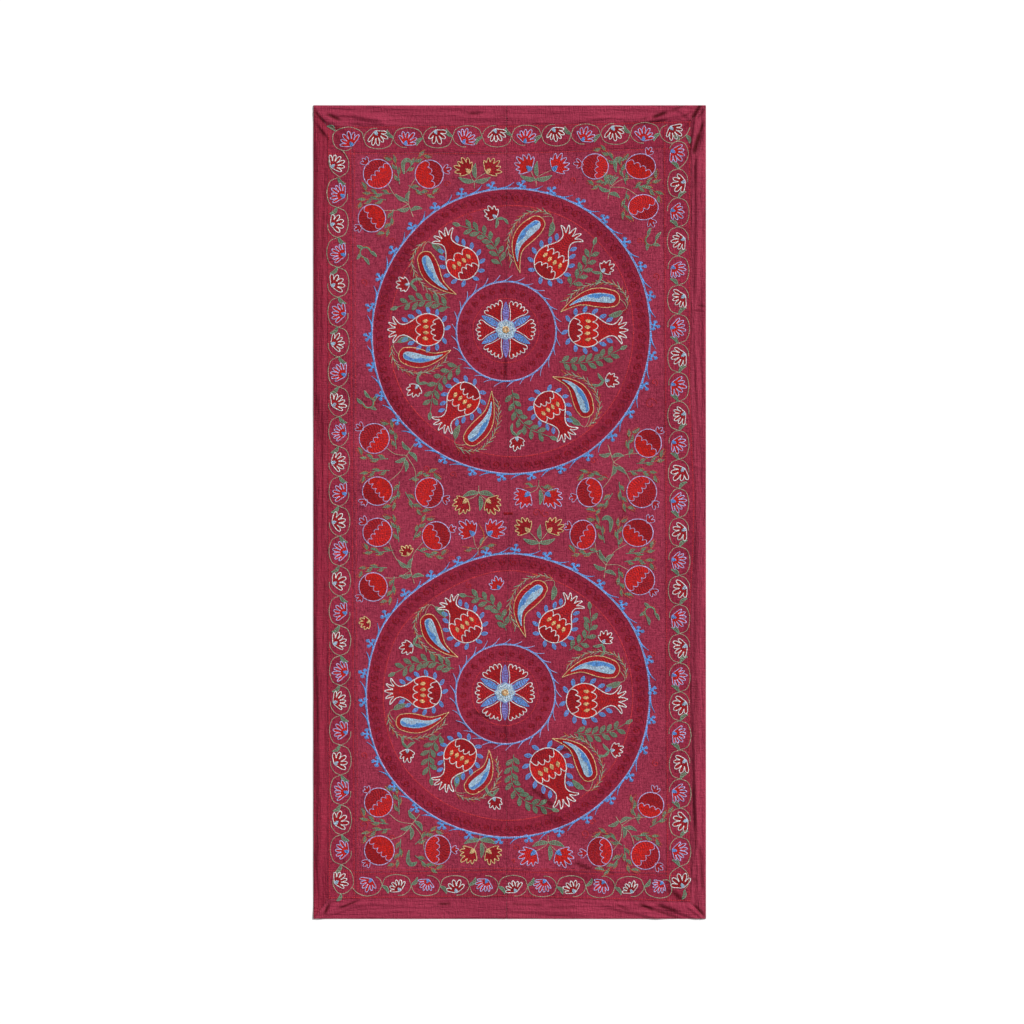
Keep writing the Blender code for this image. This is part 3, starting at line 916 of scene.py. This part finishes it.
def tulip(work, flower):
    def put(points):
        return placed(points, flower.x, flower.y, flower.bearing, flower.size)

    def reached(points):
        p = np.array(points, float)
        p[:, 0] += np.maximum(0, p[:, 0] - 30) * (flower.neck - 1)
        return p

    down = (1, -1)
    side = curve(reached(FLOWER_SIDE), n=5)
    cap_end, neck_end = -28.0, 15.0
    cap_line = lobed(cap_end, np.interp(cap_end, *side.T), 12, 4, 11)
    neck_line = lobed(neck_end, np.interp(neck_end, *side.T), 5, flower.lobes, 13)
    low, middle, high = (side[side[:, 0] < cap_end], side[(side[:, 0] > cap_end) & (side[:, 0] < neck_end)],
                         side[side[:, 0] > neck_end])
    crown = curve([high[-1], *reached(FLOWER_CROWN)], n=4)
    cap = np.concatenate([cap_line, low[::-1], low * down])
    belly = np.concatenate([cap_line, middle, neck_line[::-1], (middle * down)[::-1]])
    horn = np.concatenate([neck_line, high, crown, (crown * down)[::-1], (high * down)[::-1]])
    whole = np.concatenate([side, crown, (crown * down)[::-1], (side * down)[::-1]])
    work.fill("dark_red", put(cap), flower.bearing + 90, 0.0)
    work.fill("scarlet", put(belly), flower.bearing + 90, 0.0)
    work.fill("ruby", put(horn), flower.bearing, 0.0)
    for line in (cap_line, neck_line):
        work.run("white", put(line), 2.5, 3.2, 0.6)
    work.run("white", put(whole), 2.8, 3.4, 0.5, closed=True)
    for across in (-24, -8, 8, 24):
        seed = placed(leaf(15.5, 8.5, 0.0, 1.0), -2 + 0.1 * abs(across), across, -0.5 * across)
        work.fill("gold", put(seed), flower.bearing, 0.8, 2.1)
    edge = side[side[:, 0] < 62]
    edge = np.concatenate([(edge * down)[::-1], edge])
    for x, y, turn, _ in along(edge, 20.5):
        outward = math.degrees(turn) + 90
        spot = np.array([x, y]) + polar(2.2, outward)
        bud = placed(leaf(18.5, 9.0, 0.0, 1.0), *spot, outward - 32 * np.sign(y))
        work.fill("blue", put(bud), flower.bearing + outward, 0.0, 2.2, 4.4)
        work.run("blue", put(bud), 1.8, 3.4, 0.1, True)


for name, flowers in TULIPS.items():
    work = Work(name + "_tulips", 41 if name == "upper" else 42)
    for flower in flowers:
        tulip(work, flower)
    work.finish()

# ---------------------------------------------------------------- paisleys
# A curved drop stands beside every flower: a gold edge, a red body, and in it a pale blue drop filled in two
# blues that run into each other. A thorny twig follows its back and one green leaf fills the inner corner.
Drop = namedtuple("Drop", "x y tip_x tip_y bow fat", defaults=(0.13, 22))
PAISLEYS = {
    "upper": [
        Drop(-213, 642, -136, 554), Drop(67, 731, 26, 609, 0.20, 23), Drop(258, 543, 129, 509),
        Drop(192, 263, 109, 344, 0.18), Drop(-96, 190, -46, 308), Drop(-261, 398, -150, 412),
    ],
    "lower": [
        Drop(-206, -282, -132, -370), Drop(72, -198, 41, -319, 0.24, 24),
        Drop(256, -400, 133, -421, 0.15, 24), Drop(200, -664, 108, -577, 0.18),
        Drop(-94, -697, -53, -606, 0.17), Drop(-268, -535, -155, -510),
    ],
}


def drop_outline(length, fat, bow, reach=1.0, n=18):
    """A drop from its round end at the origin to its tip at (length, 0), its back bowed to -Y; or the part
    of it that reaches only a share of the way."""
    t = np.linspace(0, 1, n)
    middle = np.stack([length * reach * t, -bow * length * np.sin(np.pi * reach * t)], 1)
    half = fat * (1 - t**1.5) * (1 + 0.25 * np.sin(np.pi * np.minimum(1, t * 1.6)))
    across = np.gradient(middle, axis=0)
    across = np.stack([-across[:, 1], across[:, 0]], 1) / np.hypot(*across.T)[:, None]
    left, right = middle + across * half[:, None], middle - across * half[:, None]
    cap = polar(fat, np.linspace(90, 270, 12)[1:-1]) + middle[0]
    return np.concatenate([left[::-1], cap, right[:-1]])


def barbed(work, path, barb, stem="olive", pitch=6.4):
    """A thin stem with short thorns to both sides in turn."""
    work.run(stem, path, 2.0, 3.6, 0.15)
    for index, (x, y, turn, _) in enumerate(along(path, pitch)):
        bearing = math.degrees(turn) + (30 if index % 2 else -30)
        tip = polar(barb * work.rng.uniform(0.8, 1.3), bearing) + (x, y)
        work.run(("orange", stem, "sage")[index % 3], [(x, y), tip], (3.2, 1.6), 3.6, 0.15)


def green_leaf(work, x, y, bearing, length, width, bend=0.08):
    shape = placed(leaf(length, width, bend), x, y, bearing)
    work.fill("green", shape, bearing, 0.0, 2.2, 4.6)
    work.run("sage", shape, 1.5, 3.6, 0.15, True)


def paisley(work, drop):
    bearing = math.degrees(math.atan2(drop.tip_y - drop.y, drop.tip_x - drop.x))
    length = math.hypot(drop.tip_x - drop.x, drop.tip_y - drop.y)

    def put(points):
        return placed(points, drop.x, drop.y, bearing)

    outer = drop_outline(length, drop.fat, drop.bow)
    inner = drop_outline(length, drop.fat - 12, drop.bow, 0.8)
    work.fill("ruby", put(outer), bearing, 0.0)
    work.run("gold", put(outer), 2.3, 3.4, 0.35, closed=True)
    rows = rows_in(put(inner), bearing, 2.2, 4.2)
    turn = math.radians(bearing)
    aside = (rows[:, 1] - drop.y) * math.cos(turn) - (rows[:, 0] - drop.x) * math.sin(turn)
    ahead = (rows[:, 0] - drop.x) * math.cos(turn) + (rows[:, 1] - drop.y) * math.sin(turn)
    wave = 3 * np.sin(ahead / 8) + 0.6 * work.rng.normal(size=len(rows))
    pale = aside + drop.bow * length * np.sin(np.pi * ahead / length) + wave > -1
    work.lay("pale_blue", rows[pale], 2.5, 0.9)
    work.lay("blue", rows[~pale], 2.5, 0.9)
    work.run("pale_blue", put(inner), 2.4, 3.4, 1.0, closed=True)
    sag = (drop.bow - 0.13) * length
    back = curve([(-36, 30), (-38, 6), (-29, -20), (-8, -39 - sag * 0.3), (length * 0.24, -48 - sag * 0.8),
                  (length * 0.56, -43 - sag), (length * 0.86, -24 - sag * 0.5)])
    barbed(work, put(back), 13)
    green_leaf(work, *put([(-20, 38)])[0], bearing + 4, 38, 13)
    work.run("tan", put(curve([(-22, 6), (-30, 20), (-32, 34), (-20, 38)])), 1.9, 3.6, 0.15)


for name, drops in PAISLEYS.items():
    work = Work(name + "_paisleys", 51 if name == "upper" else 52)
    for drop in drops:
        paisley(work, drop)
    work.finish()

# ---------------------------------------------------------------- leaf sprigs
# Curved sprigs of small green leaves in pairs fill the spaces between the flowers.
Sprig = namedtuple("Sprig", "x1 y1 x2 y2 bow")
SPRIGS = {
    "upper": [
        Sprig(-20, 627, -139, 741, -0.19), Sprig(152, 573, 221, 693, -0.08),
        Sprig(126, 382, 299, 418, -0.10), Sprig(6, 311, 114, 178, -0.22),
        Sprig(-123, 376, -211, 240, -0.18), Sprig(-152, 520, -300, 522, -0.14),
    ],
    "lower": [
        Sprig(-9, -302, -122, -204, -0.22), Sprig(151, -352, 210, -236, -0.23),
        Sprig(164, -562, 310, -536, -0.12), Sprig(10, -618, 118, -772, -0.31),
        Sprig(-176, -563, -204, -690, -0.15), Sprig(-142, -399, -309, -411, -0.16),
    ],
}


def sprig(work, row, pitch=21.0):
    run = np.array([row.x2 - row.x1, row.y2 - row.y1]) * 0.9
    side = np.array([-run[1], run[0]]) * row.bow
    start = np.array([row.x1, row.y1])
    path = curve([start, start + run * 0.33 + side * 0.85, start + run * 0.66 + side * 0.85, start + run])
    work.run("green", path, 2.0, 3.6, 0.15)
    for x, y, turn, _ in along(path, pitch)[:-1]:
        for side in (-1, 1):
            bearing = math.degrees(turn) + 44 * side + work.rng.normal() * 5
            spot = polar(3.0, bearing) + (x, y) - polar(5.0 * (side > 0), math.degrees(turn))
            shape = placed(leaf(work.rng.uniform(21, 25.5), 10.4, 0.0, 1.15), *spot, bearing)
            work.fill("green", shape, bearing, 0.0, 2.3, 4.4)
            work.run("green", shape, 1.5, 3.6, 0.1, True)
    green_leaf(work, *path[-1], math.degrees(math.atan2(*(path[-1] - path[-2])[::-1])), 20, 9, 0.0)


for name, rows in SPRIGS.items():
    work = Work(name + "_sprigs", 61 if name == "upper" else 62)
    for row in rows:
        sprig(work, row)
    work.finish()

# ---------------------------------------------------------------- small palmettes in the medallions
# Small fans of dark red petals edged in white, each with a pale blue heart and a short green stem. One more,
# at the top of the lower medallion, is scarlet edged in lavender and has no stem.
Palm = namedtuple("Palm", "x y bearing")
PALMS = [
    Palm(-48, 762, 135), Palm(248, 624, 42), Palm(261, 335, 0), Palm(19, 173, -88), Palm(-244, 308, -125),
    Palm(-274, 579, 182), Palm(-263, -346, 205), Palm(-261, -621, -92), Palm(-36, -743, -75),
    Palm(274, -606, 4), Palm(245, -319, 62),
]


def fan(reach, petals, spread, valley=0.55, side=0.7, uneven=()):
    """Outline of a fan of pointed petals that springs from the origin towards +X."""
    angles = np.linspace(-spread / 2, spread / 2, petals)
    half = spread / (petals - 1) / 2
    lengths = reach * (side + (1 - side) * np.cos(np.radians(angles * 180 / spread)))
    lengths *= np.array(uneven) if len(uneven) else 1.0
    points = [polar(0.1 * reach, 180.0), polar(0.42 * reach, angles[0] - half * 1.2)]
    for angle, length in zip(angles, lengths):
        shoulder = 0.68 * half
        points += [polar(0.80 * length, angle - shoulder), polar(length, angle),
                   polar(0.80 * length, angle + shoulder)]
        if angle < angles[-1]:
            depth = 0.75 + 0.25 * math.cos(math.radians(angle))
            points.append(polar(valley * reach * depth, angle + half))
    points.append(polar(0.42 * reach, angles[-1] + half * 1.2))
    return curve(points, closed=True, n=4)


def palmette(work, x, y, bearing, reach, petals, edge, body, heart, spread=140, valley=0.55, side=0.68):
    """A fan of petals, its middle at x, y, opening towards the bearing; returns the point it grows from."""
    base = np.array([x, y]) - polar(0.45 * reach, bearing)
    uneven = work.rng.uniform(0.9, 1.08, petals)
    shape = placed(fan(reach, petals, spread, valley, side, uneven), *base, bearing)
    work.fill(body, shape, bearing, 0.0, 2.3, 4.6)
    work.run(edge, shape, 2.4, 3.4, 0.5, True)
    foot = base - polar(0.14 * reach, bearing)
    spot = placed(leaf(reach * 0.42, reach * 0.26, 0.0, 0.7), *foot, bearing)
    work.fill(heart, spot, bearing, 0.9, 2.1, 3.8)
    return base


work = Work("medallion_palmettes", 71)
for palm in PALMS:
    base = palmette(work, *palm, 33 if palm.y > 0 else 31, 6, "white", "dark_red", "pale_blue", 130, 0.62)
    stem = curve([base, base - polar(9.0, palm.bearing + 10), base - polar(22.0, palm.bearing + 35)])
    work.run("green", stem, 2.4, 3.6, 0.1)
    for turn, length, width in ((128, 25, 6.5), (-140, 22, 6), (172, 20, 5.5)):
        green_leaf(work, *stem[6 if turn < 172 else -1], palm.bearing + turn, length, width)
palmette(work, -35, -181, 120, 31, 6, "lavender", "scarlet", "blue", 130, 0.6)
work.finish()

# ---------------------------------------------------------------- pomegranate sprays
# Eight sprays fill the corners outside the medallions. Each has three pomegranates on thin tan stems, edged
# in lavender and split by a scalloped line into dark red and scarlet, with leafy twigs that hold them.
Fruit = namedtuple("Fruit", "x y rx ry bearing")
Spray = namedtuple("Spray", "x y root_x root_y fruits")
SPRAYS = [
    Spray(-258, 784, -246, 752, [Fruit(-336, 861, 37, 37, 135), Fruit(-205, 860, 36, 36, 15),
                                 Fruit(-351, 748, 35, 35, 215)]),
    Spray(256, 827, 250, 796, [Fruit(217, 880, 34, 32, 172), Fruit(333, 880, 38, 32, 60),
                               Fruit(340, 776, 38, 32, -62)]),
    Spray(-263, 144, -244, 172, [Fruit(-345, 187, 38, 38, 142), Fruit(-337, 53, 38, 36, 220),
                                 Fruit(-205, 49, 36, 38, -22)]),
    Spray(264, 127, 250, 171, [Fruit(352, 175, 34, 36, 48), Fruit(203, 50, 33, 37, 197),
                               Fruit(336, 51, 38, 40, -42)]),
    Spray(-253, -150, -243, -182, [Fruit(-337, -52, 37, 36, 142), Fruit(-187, -61, 36, 36, 24),
                                   Fruit(-348, -191, 36, 36, 220)]),
    Spray(245, -135, 240, -168, [Fruit(186, -58, 33, 37, 150), Fruit(326, -53, 39, 35, 48),
                                 Fruit(331, -174, 38, 37, -42)]),
    Spray(-248, -794, -229, -770, [Fruit(-334, -740, 36, 37, 132), Fruit(-332, -862, 38, 37, 225),
                                   Fruit(-183, -860, 33, 37, 0)]),
    Spray(286, -798, 270, -776, [Fruit(359, -746, 33, 32, 72), Fruit(229, -865, 32, 37, 186),
                                 Fruit(345, -874, 36, 36, -40)]),
]


def leafy_twig(work, path, side, size=1.0):
    """A sinuous twig: a thin stem, orange to its tip, with flame-shaped green leaves by turns."""
    work.run("green", path[: len(path) // 2 + 1], 2.4, 3.8, 0.1)
    work.run("orange", path[len(path) // 2 :], (2.6, 1.6), 3.8, 0.1)
    for index, (x, y, turn, _) in enumerate(along(path, 16 * size)[:-1]):
        lean = side * (1, -0.5)[index % 2]
        bearing = math.degrees(turn) + 26 * lean
        length = 24 * size * work.rng.uniform(0.85, 1.15)
        shape = placed(leaf(length, 8.4 * size, 0.14 * lean), x, y, bearing)
        work.fill("green", shape, bearing, 0.0, 2.2, 4.4)
        work.run("orange", shape[:13] if lean > 0 else shape[12:], (1.0, 2.2), 4.2, 0.2)


def pomegranate(work, fruit, split=-0.18):
    """A round fruit: dark on the crown side of its scalloped line, scarlet on the stem side."""
    bearing, size = fruit.bearing, (fruit.rx + fruit.ry) / 2
    body = circle(0, 0, fruit.rx, fruit.ry, 60)
    body = placed(body, 0, 0, -bearing)
    body = body[np.argsort(np.arctan2(body[:, 1], body[:, 0]))]
    across = size * split
    half = size * math.sqrt(1 - split**2)
    line = lobed(across, half, 0.10 * size, 5 if size > 36 else 4, 0.25 * size)
    front, back = body[body[:, 0] > across], body[body[:, 0] < across]
    back = back[np.argsort(np.arctan2(back[:, 1], -back[:, 0]))]

    def put(points):
        return placed(points, fruit.x, fruit.y, bearing)

    work.fill("dark_red", put(np.concatenate([front, line[::-1]])), bearing + 75, 0.0)
    work.fill("scarlet", put(np.concatenate([back, line[::-1]])), bearing + 75, 0.0)
    work.run("lavender", put(body), 2.7, 3.4, 0.35, True)
    work.run("lavender", put(line), 2.0, 3.2, 0.35)
    crown = fan(22, 3, 70, 0.5, 0.9, work.rng.uniform(0.85, 1.1, 3)) + (size * 0.97, 0)
    work.fill("ruby", put(crown), bearing, 0.0, 2.2, 4.2)
    work.run("lavender", put(crown), 1.9, 3.2, 0.25, True)
    for side in (-1, 1):
        share = np.linspace(0, 1, 11)
        reach = size + 13 + 11 * share**3 + 2.5 * np.sin(2 * np.pi * share)
        path = put(polar(reach, (work.rng.uniform(64, 76) + 96 * share) * side))
        leafy_twig(work, path[::-1], -side, 0.95)


def spray(work, row):
    centre, root = np.array([row.x, row.y]), np.array([row.root_x, row.root_y])
    for fruit in row.fruits:
        foot = np.array([fruit.x, fruit.y]) - polar((fruit.rx + fruit.ry) / 2, fruit.bearing)
        run = foot - centre
        bow = np.array([-run[1], run[0]]) * 0.12
        work.run("tan", curve([centre, centre + run * 0.5 + bow, foot]), 2.1, 3.6, 0.1)
        pomegranate(work, fruit, -0.18 + 0.1 * work.rng.normal())
    work.run("tan", [centre, root], 2.3, 3.6, 0.1)
    heading = math.degrees(math.atan2(*(root - centre)[::-1]))
    for turn, length, share in ((78, 30, 0.5), (-104, 32, 0.3), (-140, 34, -0.3), (146, 28, -0.2)):
        green_leaf(work, *(centre + (root - centre) * share), heading + turn, length, 9, 0.14)


for index, row in enumerate(SPRAYS):
    work = Work(f"spray_{index + 1}", 81 + index)
    spray(work, row)
    work.finish()

# ---------------------------------------------------------------- paired palmettes
# Eight pairs of larger palmettes stand above, between and below the medallions, in gold and in lavender by
# turns, with green leaves at the fork of their stems.
Pair = namedtuple("Pair", "x y grow left right height thread middle", defaults=("leaf",))
PAIRS = [
    Pair(-90, 838, 90, 28, 47, 41, "gold"), Pair(67, 843, 90, 31, 61, 44, "lavender"),
    Pair(-79, 53, -90, 46, 37, 36, "gold"), Pair(74, 68, -90, 43, 37, 35, "lavender"),
    Pair(-81, -96, 90, 28, 44, 54, "lavender", "twig"), Pair(75, -82, 90, 42, 39, 47, "gold"),
    Pair(-76, -831, -90, 31, 35, 44, "gold"), Pair(98, -838, -90, 51, 40, 42, "lavender"),
]
work = Work("paired_palmettes", 91)
for pair in PAIRS:
    up = 1 if pair.grow > 0 else -1
    colours = ("gold", "dark_red", "gold") if pair.thread == "gold" else ("lavender", "scarlet", "blue")
    for side, reach in ((-1, pair.left), (1, pair.right)):
        bearing = pair.grow - 48 * side * up
        size = 41 if pair.thread == "gold" else 45
        middle = pair.x + side * reach, pair.y + up * pair.height
        base = palmette(work, *middle, bearing, size, 7, *colours, 130, 0.6)
        stem = curve([(pair.x, pair.y), (pair.x + side * 7, pair.y + up * 12), base])
        work.run("tan", stem, 2.1, 3.6, 0.1)
        if abs(pair.y) > 200 or pair.thread == "gold":
            green_leaf(work, pair.x, pair.y + up * 4, 90 * up - side * up * 76, 42, 11, -0.1 * side * up)
        else:
            twig = curve([(6, 2), (22, 7 + 2 * side), (40, 5 - 3 * side)]) * (side, up) + (pair.x, pair.y)
            leafy_twig(work, twig, -side * up, 0.9)
    if pair.middle == "leaf":
        green_leaf(work, pair.x + 3, pair.y + up * 12, 90 * up, 38, 10)
    else:
        twig = curve([(4, 6), (15, 26), (13, 46), (2, 66)]) + (pair.x, pair.y)
        work.run("orange", twig, (4.2, 2.4), 3.8, 0.1)
        green_leaf(work, *twig[2], 70, 22, 6, 0.1)
    work.run("tan", [(pair.x, pair.y - up * 14), (pair.x, pair.y + up * 4)], 2.2, 3.6, 0.1)
palmette(work, -264, -97, 118, 28, 6, "gold", "dark_red", "gold", 130)
palmette(work, -370, -284, 200, 28, 6, "gold", "dark_red", "gold", 130)
work.finish()

# ---------------------------------------------------------------- loose curls
# Hooked leaves of green and orange and faint scrolls of red fill what is left of the ground.
Curl = namedtuple("Curl", "x y size bearing")
CURLED = [
    Curl(-368, 661, 13, 40), Curl(-360, 278, 13, 220), Curl(359, 692, 13, 150), Curl(357, -255, 13, 20),
]
# Hooked leaves: 1 or -1 says which way the crook stands, up or down and to the right or the left
Hook = namedtuple("Hook", "x y up right", defaults=(1,))
HOOKS = [Hook(-264, 884, 1), Hook(276, 888, 1), Hook(250, -27, 1, -1), Hook(-251, -885, -1)]
SCROLLS = [
    Curl(359, 275, 16, 90), Curl(-373, -796, 13, 30), Curl(8, -888, 6, 0), Curl(68, -3, 12, 70),
    Curl(92, -4, 11, 210), Curl(-122, -820, 12, 80), Curl(16, -855, 11, 10), Curl(20, 795, 10, 200),
    Curl(-145, 95, 10, 40), Curl(214, 130, 10, 100), Curl(240, 88, 9, 60), Curl(190, 156, 9, 60),
    Curl(-214, 110, 10, 0), Curl(-226, 90, 8, 90), Curl(190, -820, 12, 10), Curl(-150, -120, 10, 20),
    Curl(165, -120, 10, 160), Curl(120, 840, 10, 70), Curl(-300, 690, 9, 70), Curl(-372, 585, 10, 20),
    Curl(372, 600, 10, 20), Curl(330, 690, 9, 60), Curl(368, 330, 10, 20), Curl(-372, -620, 10, 20),
    Curl(-300, -830, 9, 20), Curl(372, -640, 10, 200), Curl(365, -360, 10, 200), Curl(160, 845, 9, 10),
    Curl(-160, 835, 9, 90), Curl(-160, -825, 9, 90), Curl(210, -790, 9, 90),
]
work = Work("loose_curls", 95)
crook = curve([(-5, -24), (-11, -10), (-12, 5), (-4, 16), (8, 16), (15, 6), (6, 8), (-1, 6), (-4, -3)],
              closed=True)
for hook in HOOKS:
    shape = placed(crook * (hook.right, 1), hook.x, hook.y, 0, work.rng.uniform(0.9, 1.05), hook.up)
    work.fill("green", shape, 70 * hook.up * hook.right, 0.0, 2.3, 4.4)
    work.run("sage", shape, 1.5, 3.6, 0.1, True)
for curl in CURLED:
    arc = polar(curl.size, np.linspace(-30, 215, 14))
    work.run("green", placed(arc, curl.x, curl.y, curl.bearing), (5.0, 3.0), 3.8, 0.1)
    work.run("orange", placed(arc * 1.22, curl.x, curl.y, curl.bearing), 1.8, 3.8, 0.05)
    for turn, length in ((-30, 22), (70, 18), (150, 18), (215, 24)):
        spot = placed([polar(curl.size, turn)], curl.x, curl.y, curl.bearing)[0]
        green_leaf(work, *spot, curl.bearing + turn + (50 if turn > 0 else -50), length, 7)
for curl in SCROLLS:
    work.run("brick", placed(spiral(curl.size, 1.1), curl.x, curl.y, curl.bearing), 2.6, 3.6, 0.1)
work.finish()

# ---------------------------------------------------------------- running vine
# A thin olive vine runs clockwise round the band. It loops once round each palmette, white-edged ones with
# their heart outwards and lavender ones with it inwards, and puts out one green leaf at every fork.
Side = namedtuple("Side", "x1 y1 x2 y2 count heading")
SIDES = [
    Side(-429, -936, -439, 889, 25, 90),
    Side(-410, 950, 420, 966, 12, 0),
    Side(428, 911, 434, -939, 26, -90),
    Side(379, -955, -362, -950, 11, 180),
]
# At the corners the vine leaves the rule: its main run, its free end, and leaves as (x, y, bearing, length)
Corner = namedtuple("Corner", "main_run free_end leaves bearing")
CORNERS = {
    24: Corner([(-433, 852), (-414, 866), (-410, 889), (-417, 908), (-427, 921)],
               [(-433, 852), (-452, 868), (-461, 889), (-456, 908)], [], 36),
    25: Corner([(-427, 921), (-442, 928), (-451, 948), (-444, 969), (-410, 980), (-379, 969), (-372, 951)],
               [(-427, 921), (-415, 920), (-403, 927)], [(-444, 971, 152, 23)], 118),
    36: Corner([(382, 966), (389, 950), (411, 939), (436, 951), (450, 961), (459, 979)],
               [(382, 966), (387, 979), (401, 986)], [(433, 951, 148, 15), (449, 960, -67, 22)], -50),
    37: Corner([(411, 934), (419, 941), (433, 944), (447, 936), (455, 913), (447, 890), (430, 874)],
               [(419, 941), (411, 934), (407, 925)], [(430, 874, 140, 24)], -34),
    62: Corner([(434, -902), (413, -916), (407, -931), (412, -954)],
               [(434, -902), (450, -916), (456, -932), (454, -949), (445, -962)],
               [(445, -962, -105, 24)], 110),
    63: Corner([(412, -954), (412, -968), (402, -979), (379, -983), (352, -974), (342, -955)],
               [(410, -946), (406, -940), (399, -937), (389, -938)], [(342, -955, 52, 24)], 228),
    73: Corner([(-325, -950), (-336, -970), (-363, -978), (-387, -971), (-400, -958)],
               [(-325, -950), (-331, -935), (-341, -929)], [], 236),
    0: Corner([(-450, -938), (-449, -952), (-437, -970), (-419, -971), (-402, -956), (-398, -938),
               (-406, -914), (-429, -898)], [], [(-429, -973, -125, 20), (-429, -898, -128, 24)], 30),
}
spots, headings = [], []
for side in SIDES:
    for share in np.linspace(0, 1, side.count):
        spots.append((side.x1 + (side.x2 - side.x1) * share, side.y1 + (side.y2 - side.y1) * share))
        headings.append(side.heading)
spots = np.array(spots)
forks = (spots + np.roll(spots, 1, axis=0)) / 2
A_MESH = 19  # palmettes gathered in one mesh
for index, (spot, heading) in enumerate(zip(spots, headings)):
    if index % A_MESH == 0:
        work = Work(f"vine_{index // A_MESH + 1}", 101 + index)
    white = index % 2 == 0
    main = heading - 90 if white else heading + 90
    here, ahead = forks[index], forks[(index + 1) % len(forks)]
    tall = 27 + work.rng.normal() * 0.8
    back, front, out = heading + 180, heading, main + 180
    arch = [here, spot + polar(28.0, back) + polar(tall * 0.72, main), spot + polar(tall, main),
            spot + polar(28.0, front) + polar(tall * 0.72, main), ahead]
    hook = [here, *(spot + polar(behind, back) + polar(tall * share, out)
                    for behind, share in ((32.0, 0.5), (17.0, 0.9), (3.0, 0.94)))]
    leaves = [(*(ahead + polar(1.0, out)), back + (-52 if white else 52), 24)]
    bearing = main + (27 if white else -27) + work.rng.normal() * 8
    if index in CORNERS:
        arch, hook, leaves, bearing = CORNERS[index]
    work.run("olive", curve(arch), 2.3, 3.8, 0.15)
    if hook:
        work.run("olive", curve(hook), 2.1, 3.8, 0.15)
    for x, y, turn, length in leaves:
        green_leaf(work, x, y, turn, length + 2, 8.5, 0.16 if white else -0.16)
    colours = ("white", "dark_red", "pale_blue") if white else ("lavender", "scarlet", "blue")
    petals = int(work.rng.integers(5, 7)) + (not white)
    reach = (34 if index < 63 else 30.5) * work.rng.uniform(0.94, 1.06)
    palmette(work, *(spot + polar(1.0, out)), bearing, reach, petals, *colours, 128, 0.42, 0.85)
    if index % A_MESH == A_MESH - 1 or index == len(spots) - 1:
        work.finish()

# ---------------------------------------------------------------- seam stitching
# A row of madder red running stitch is worked on both sides of each band, close to the seam, and small cross
# stitches close the centre seam where the two halves meet.
work = Work("seam_stitches", 131)


def beside(edge, off):
    """A line beside a seam, at a distance from it (mm)."""
    path = edge_points(edge, np.linspace(0, 1, 120))
    path[:, 0 if edge[0] in UPRIGHTS else 1] += off
    return path


def running(work, thread, path, width, stitch, space):
    """Running stitch: a stitch, then a space, all along."""
    rows = along(path, stitch + space)
    rows[:, 3] *= stitch / (stitch + space)
    work.lay(thread, rows, width, 0.05, 0.5)


MADDER_STITCH = 2.6, 5.0, 0.8  # its width, its length and the space after it, mm
BESIDE_UPRIGHTS = (("margin_left", 4), ("band_left", -4), ("band_left", 6), ("band_right", 4),
                   ("margin_right", -4))
BESIDE_LEVELS = (("margin_bottom", 4), ("band_bottom", -4), ("band_bottom", 5), ("band_top", -3),
                 ("margin_top", -4))
for seam, off in BESIDE_UPRIGHTS:
    running(work, "madder", beside((seam, *FULL_HEIGHT), off), *MADDER_STITCH)
for seam, off in BESIDE_LEVELS:
    for ends in (("margin_left", "centre"), ("centre", "margin_right")):
        running(work, "madder", beside((seam, *ends), off), *MADDER_STITCH)
for off in (-3.4, 3.4):
    running(work, "burgundy", beside(("centre", "edge_bottom", "edge_top"), off), 1.5, 3.0, 3.0)
for step in range(-3, 4):
    x, y = upright_x("centre", 0.0) + step * 3.4, -4.0
    work.run("dark_red", [(x - 1.4, y - 3), (x + 1.4, y + 3)], 1.5, 6, 0.1)
    work.run("dark_red", [(x + 1.4, y - 3), (x - 1.4, y + 3)], 1.5, 6, 0.3)
work.finish()

# ---------------------------------------------------------------- floor, light and camera
# A plain white table top, a large soft light from the upper right and a pale sky all round.
bpy.context.scene.view_settings.view_transform = "Standard"
bm = bmesh.new()
bmesh.ops.create_grid(bm, x_segments=1, y_segments=1, size=12.0)
mesh = bpy.data.meshes.new("floor")
bm.to_mesh(mesh)
bm.free()
floor = bpy.data.objects.new("floor", mesh)
floor.location.z = -0.0002
paint, tree, shader = blank_material("matt_white_board")
shader.inputs["Base Color"].default_value = linear("#FEFEFE")
shader.inputs["Roughness"].default_value = 0.9
mesh.materials.append(paint)
bpy.context.scene.collection.objects.link(floor)

world = bpy.data.worlds.new("studio")
world.use_nodes = True
world.node_tree.nodes["Background"].inputs["Color"].default_value = (1.0, 1.0, 1.0, 1.0)
world.node_tree.nodes["Background"].inputs["Strength"].default_value = 0.43
bpy.context.scene.world = world

sun = bpy.data.lights.new("window", "SUN")
sun.energy = 4.0
sun.angle = math.radians(5)
window = bpy.data.objects.new("window", sun)
window.rotation_euler = math.radians(60), 0.0, math.radians(128)
bpy.context.scene.collection.objects.link(window)

FIELD_OF_VIEW = 2.608  # metres across the picture
HEIGHT = 12.0
camera = bpy.data.objects.new("camera", bpy.data.cameras.new("camera"))
camera.data.sensor_width = 36.0
camera.data.lens = 36.0 * HEIGHT / FIELD_OF_VIEW
camera.data.clip_end = 100.0
camera.location = 0.0059, 0.0, HEIGHT
bpy.context.scene.collection.objects.link(camera)
bpy.context.scene.camera = camera
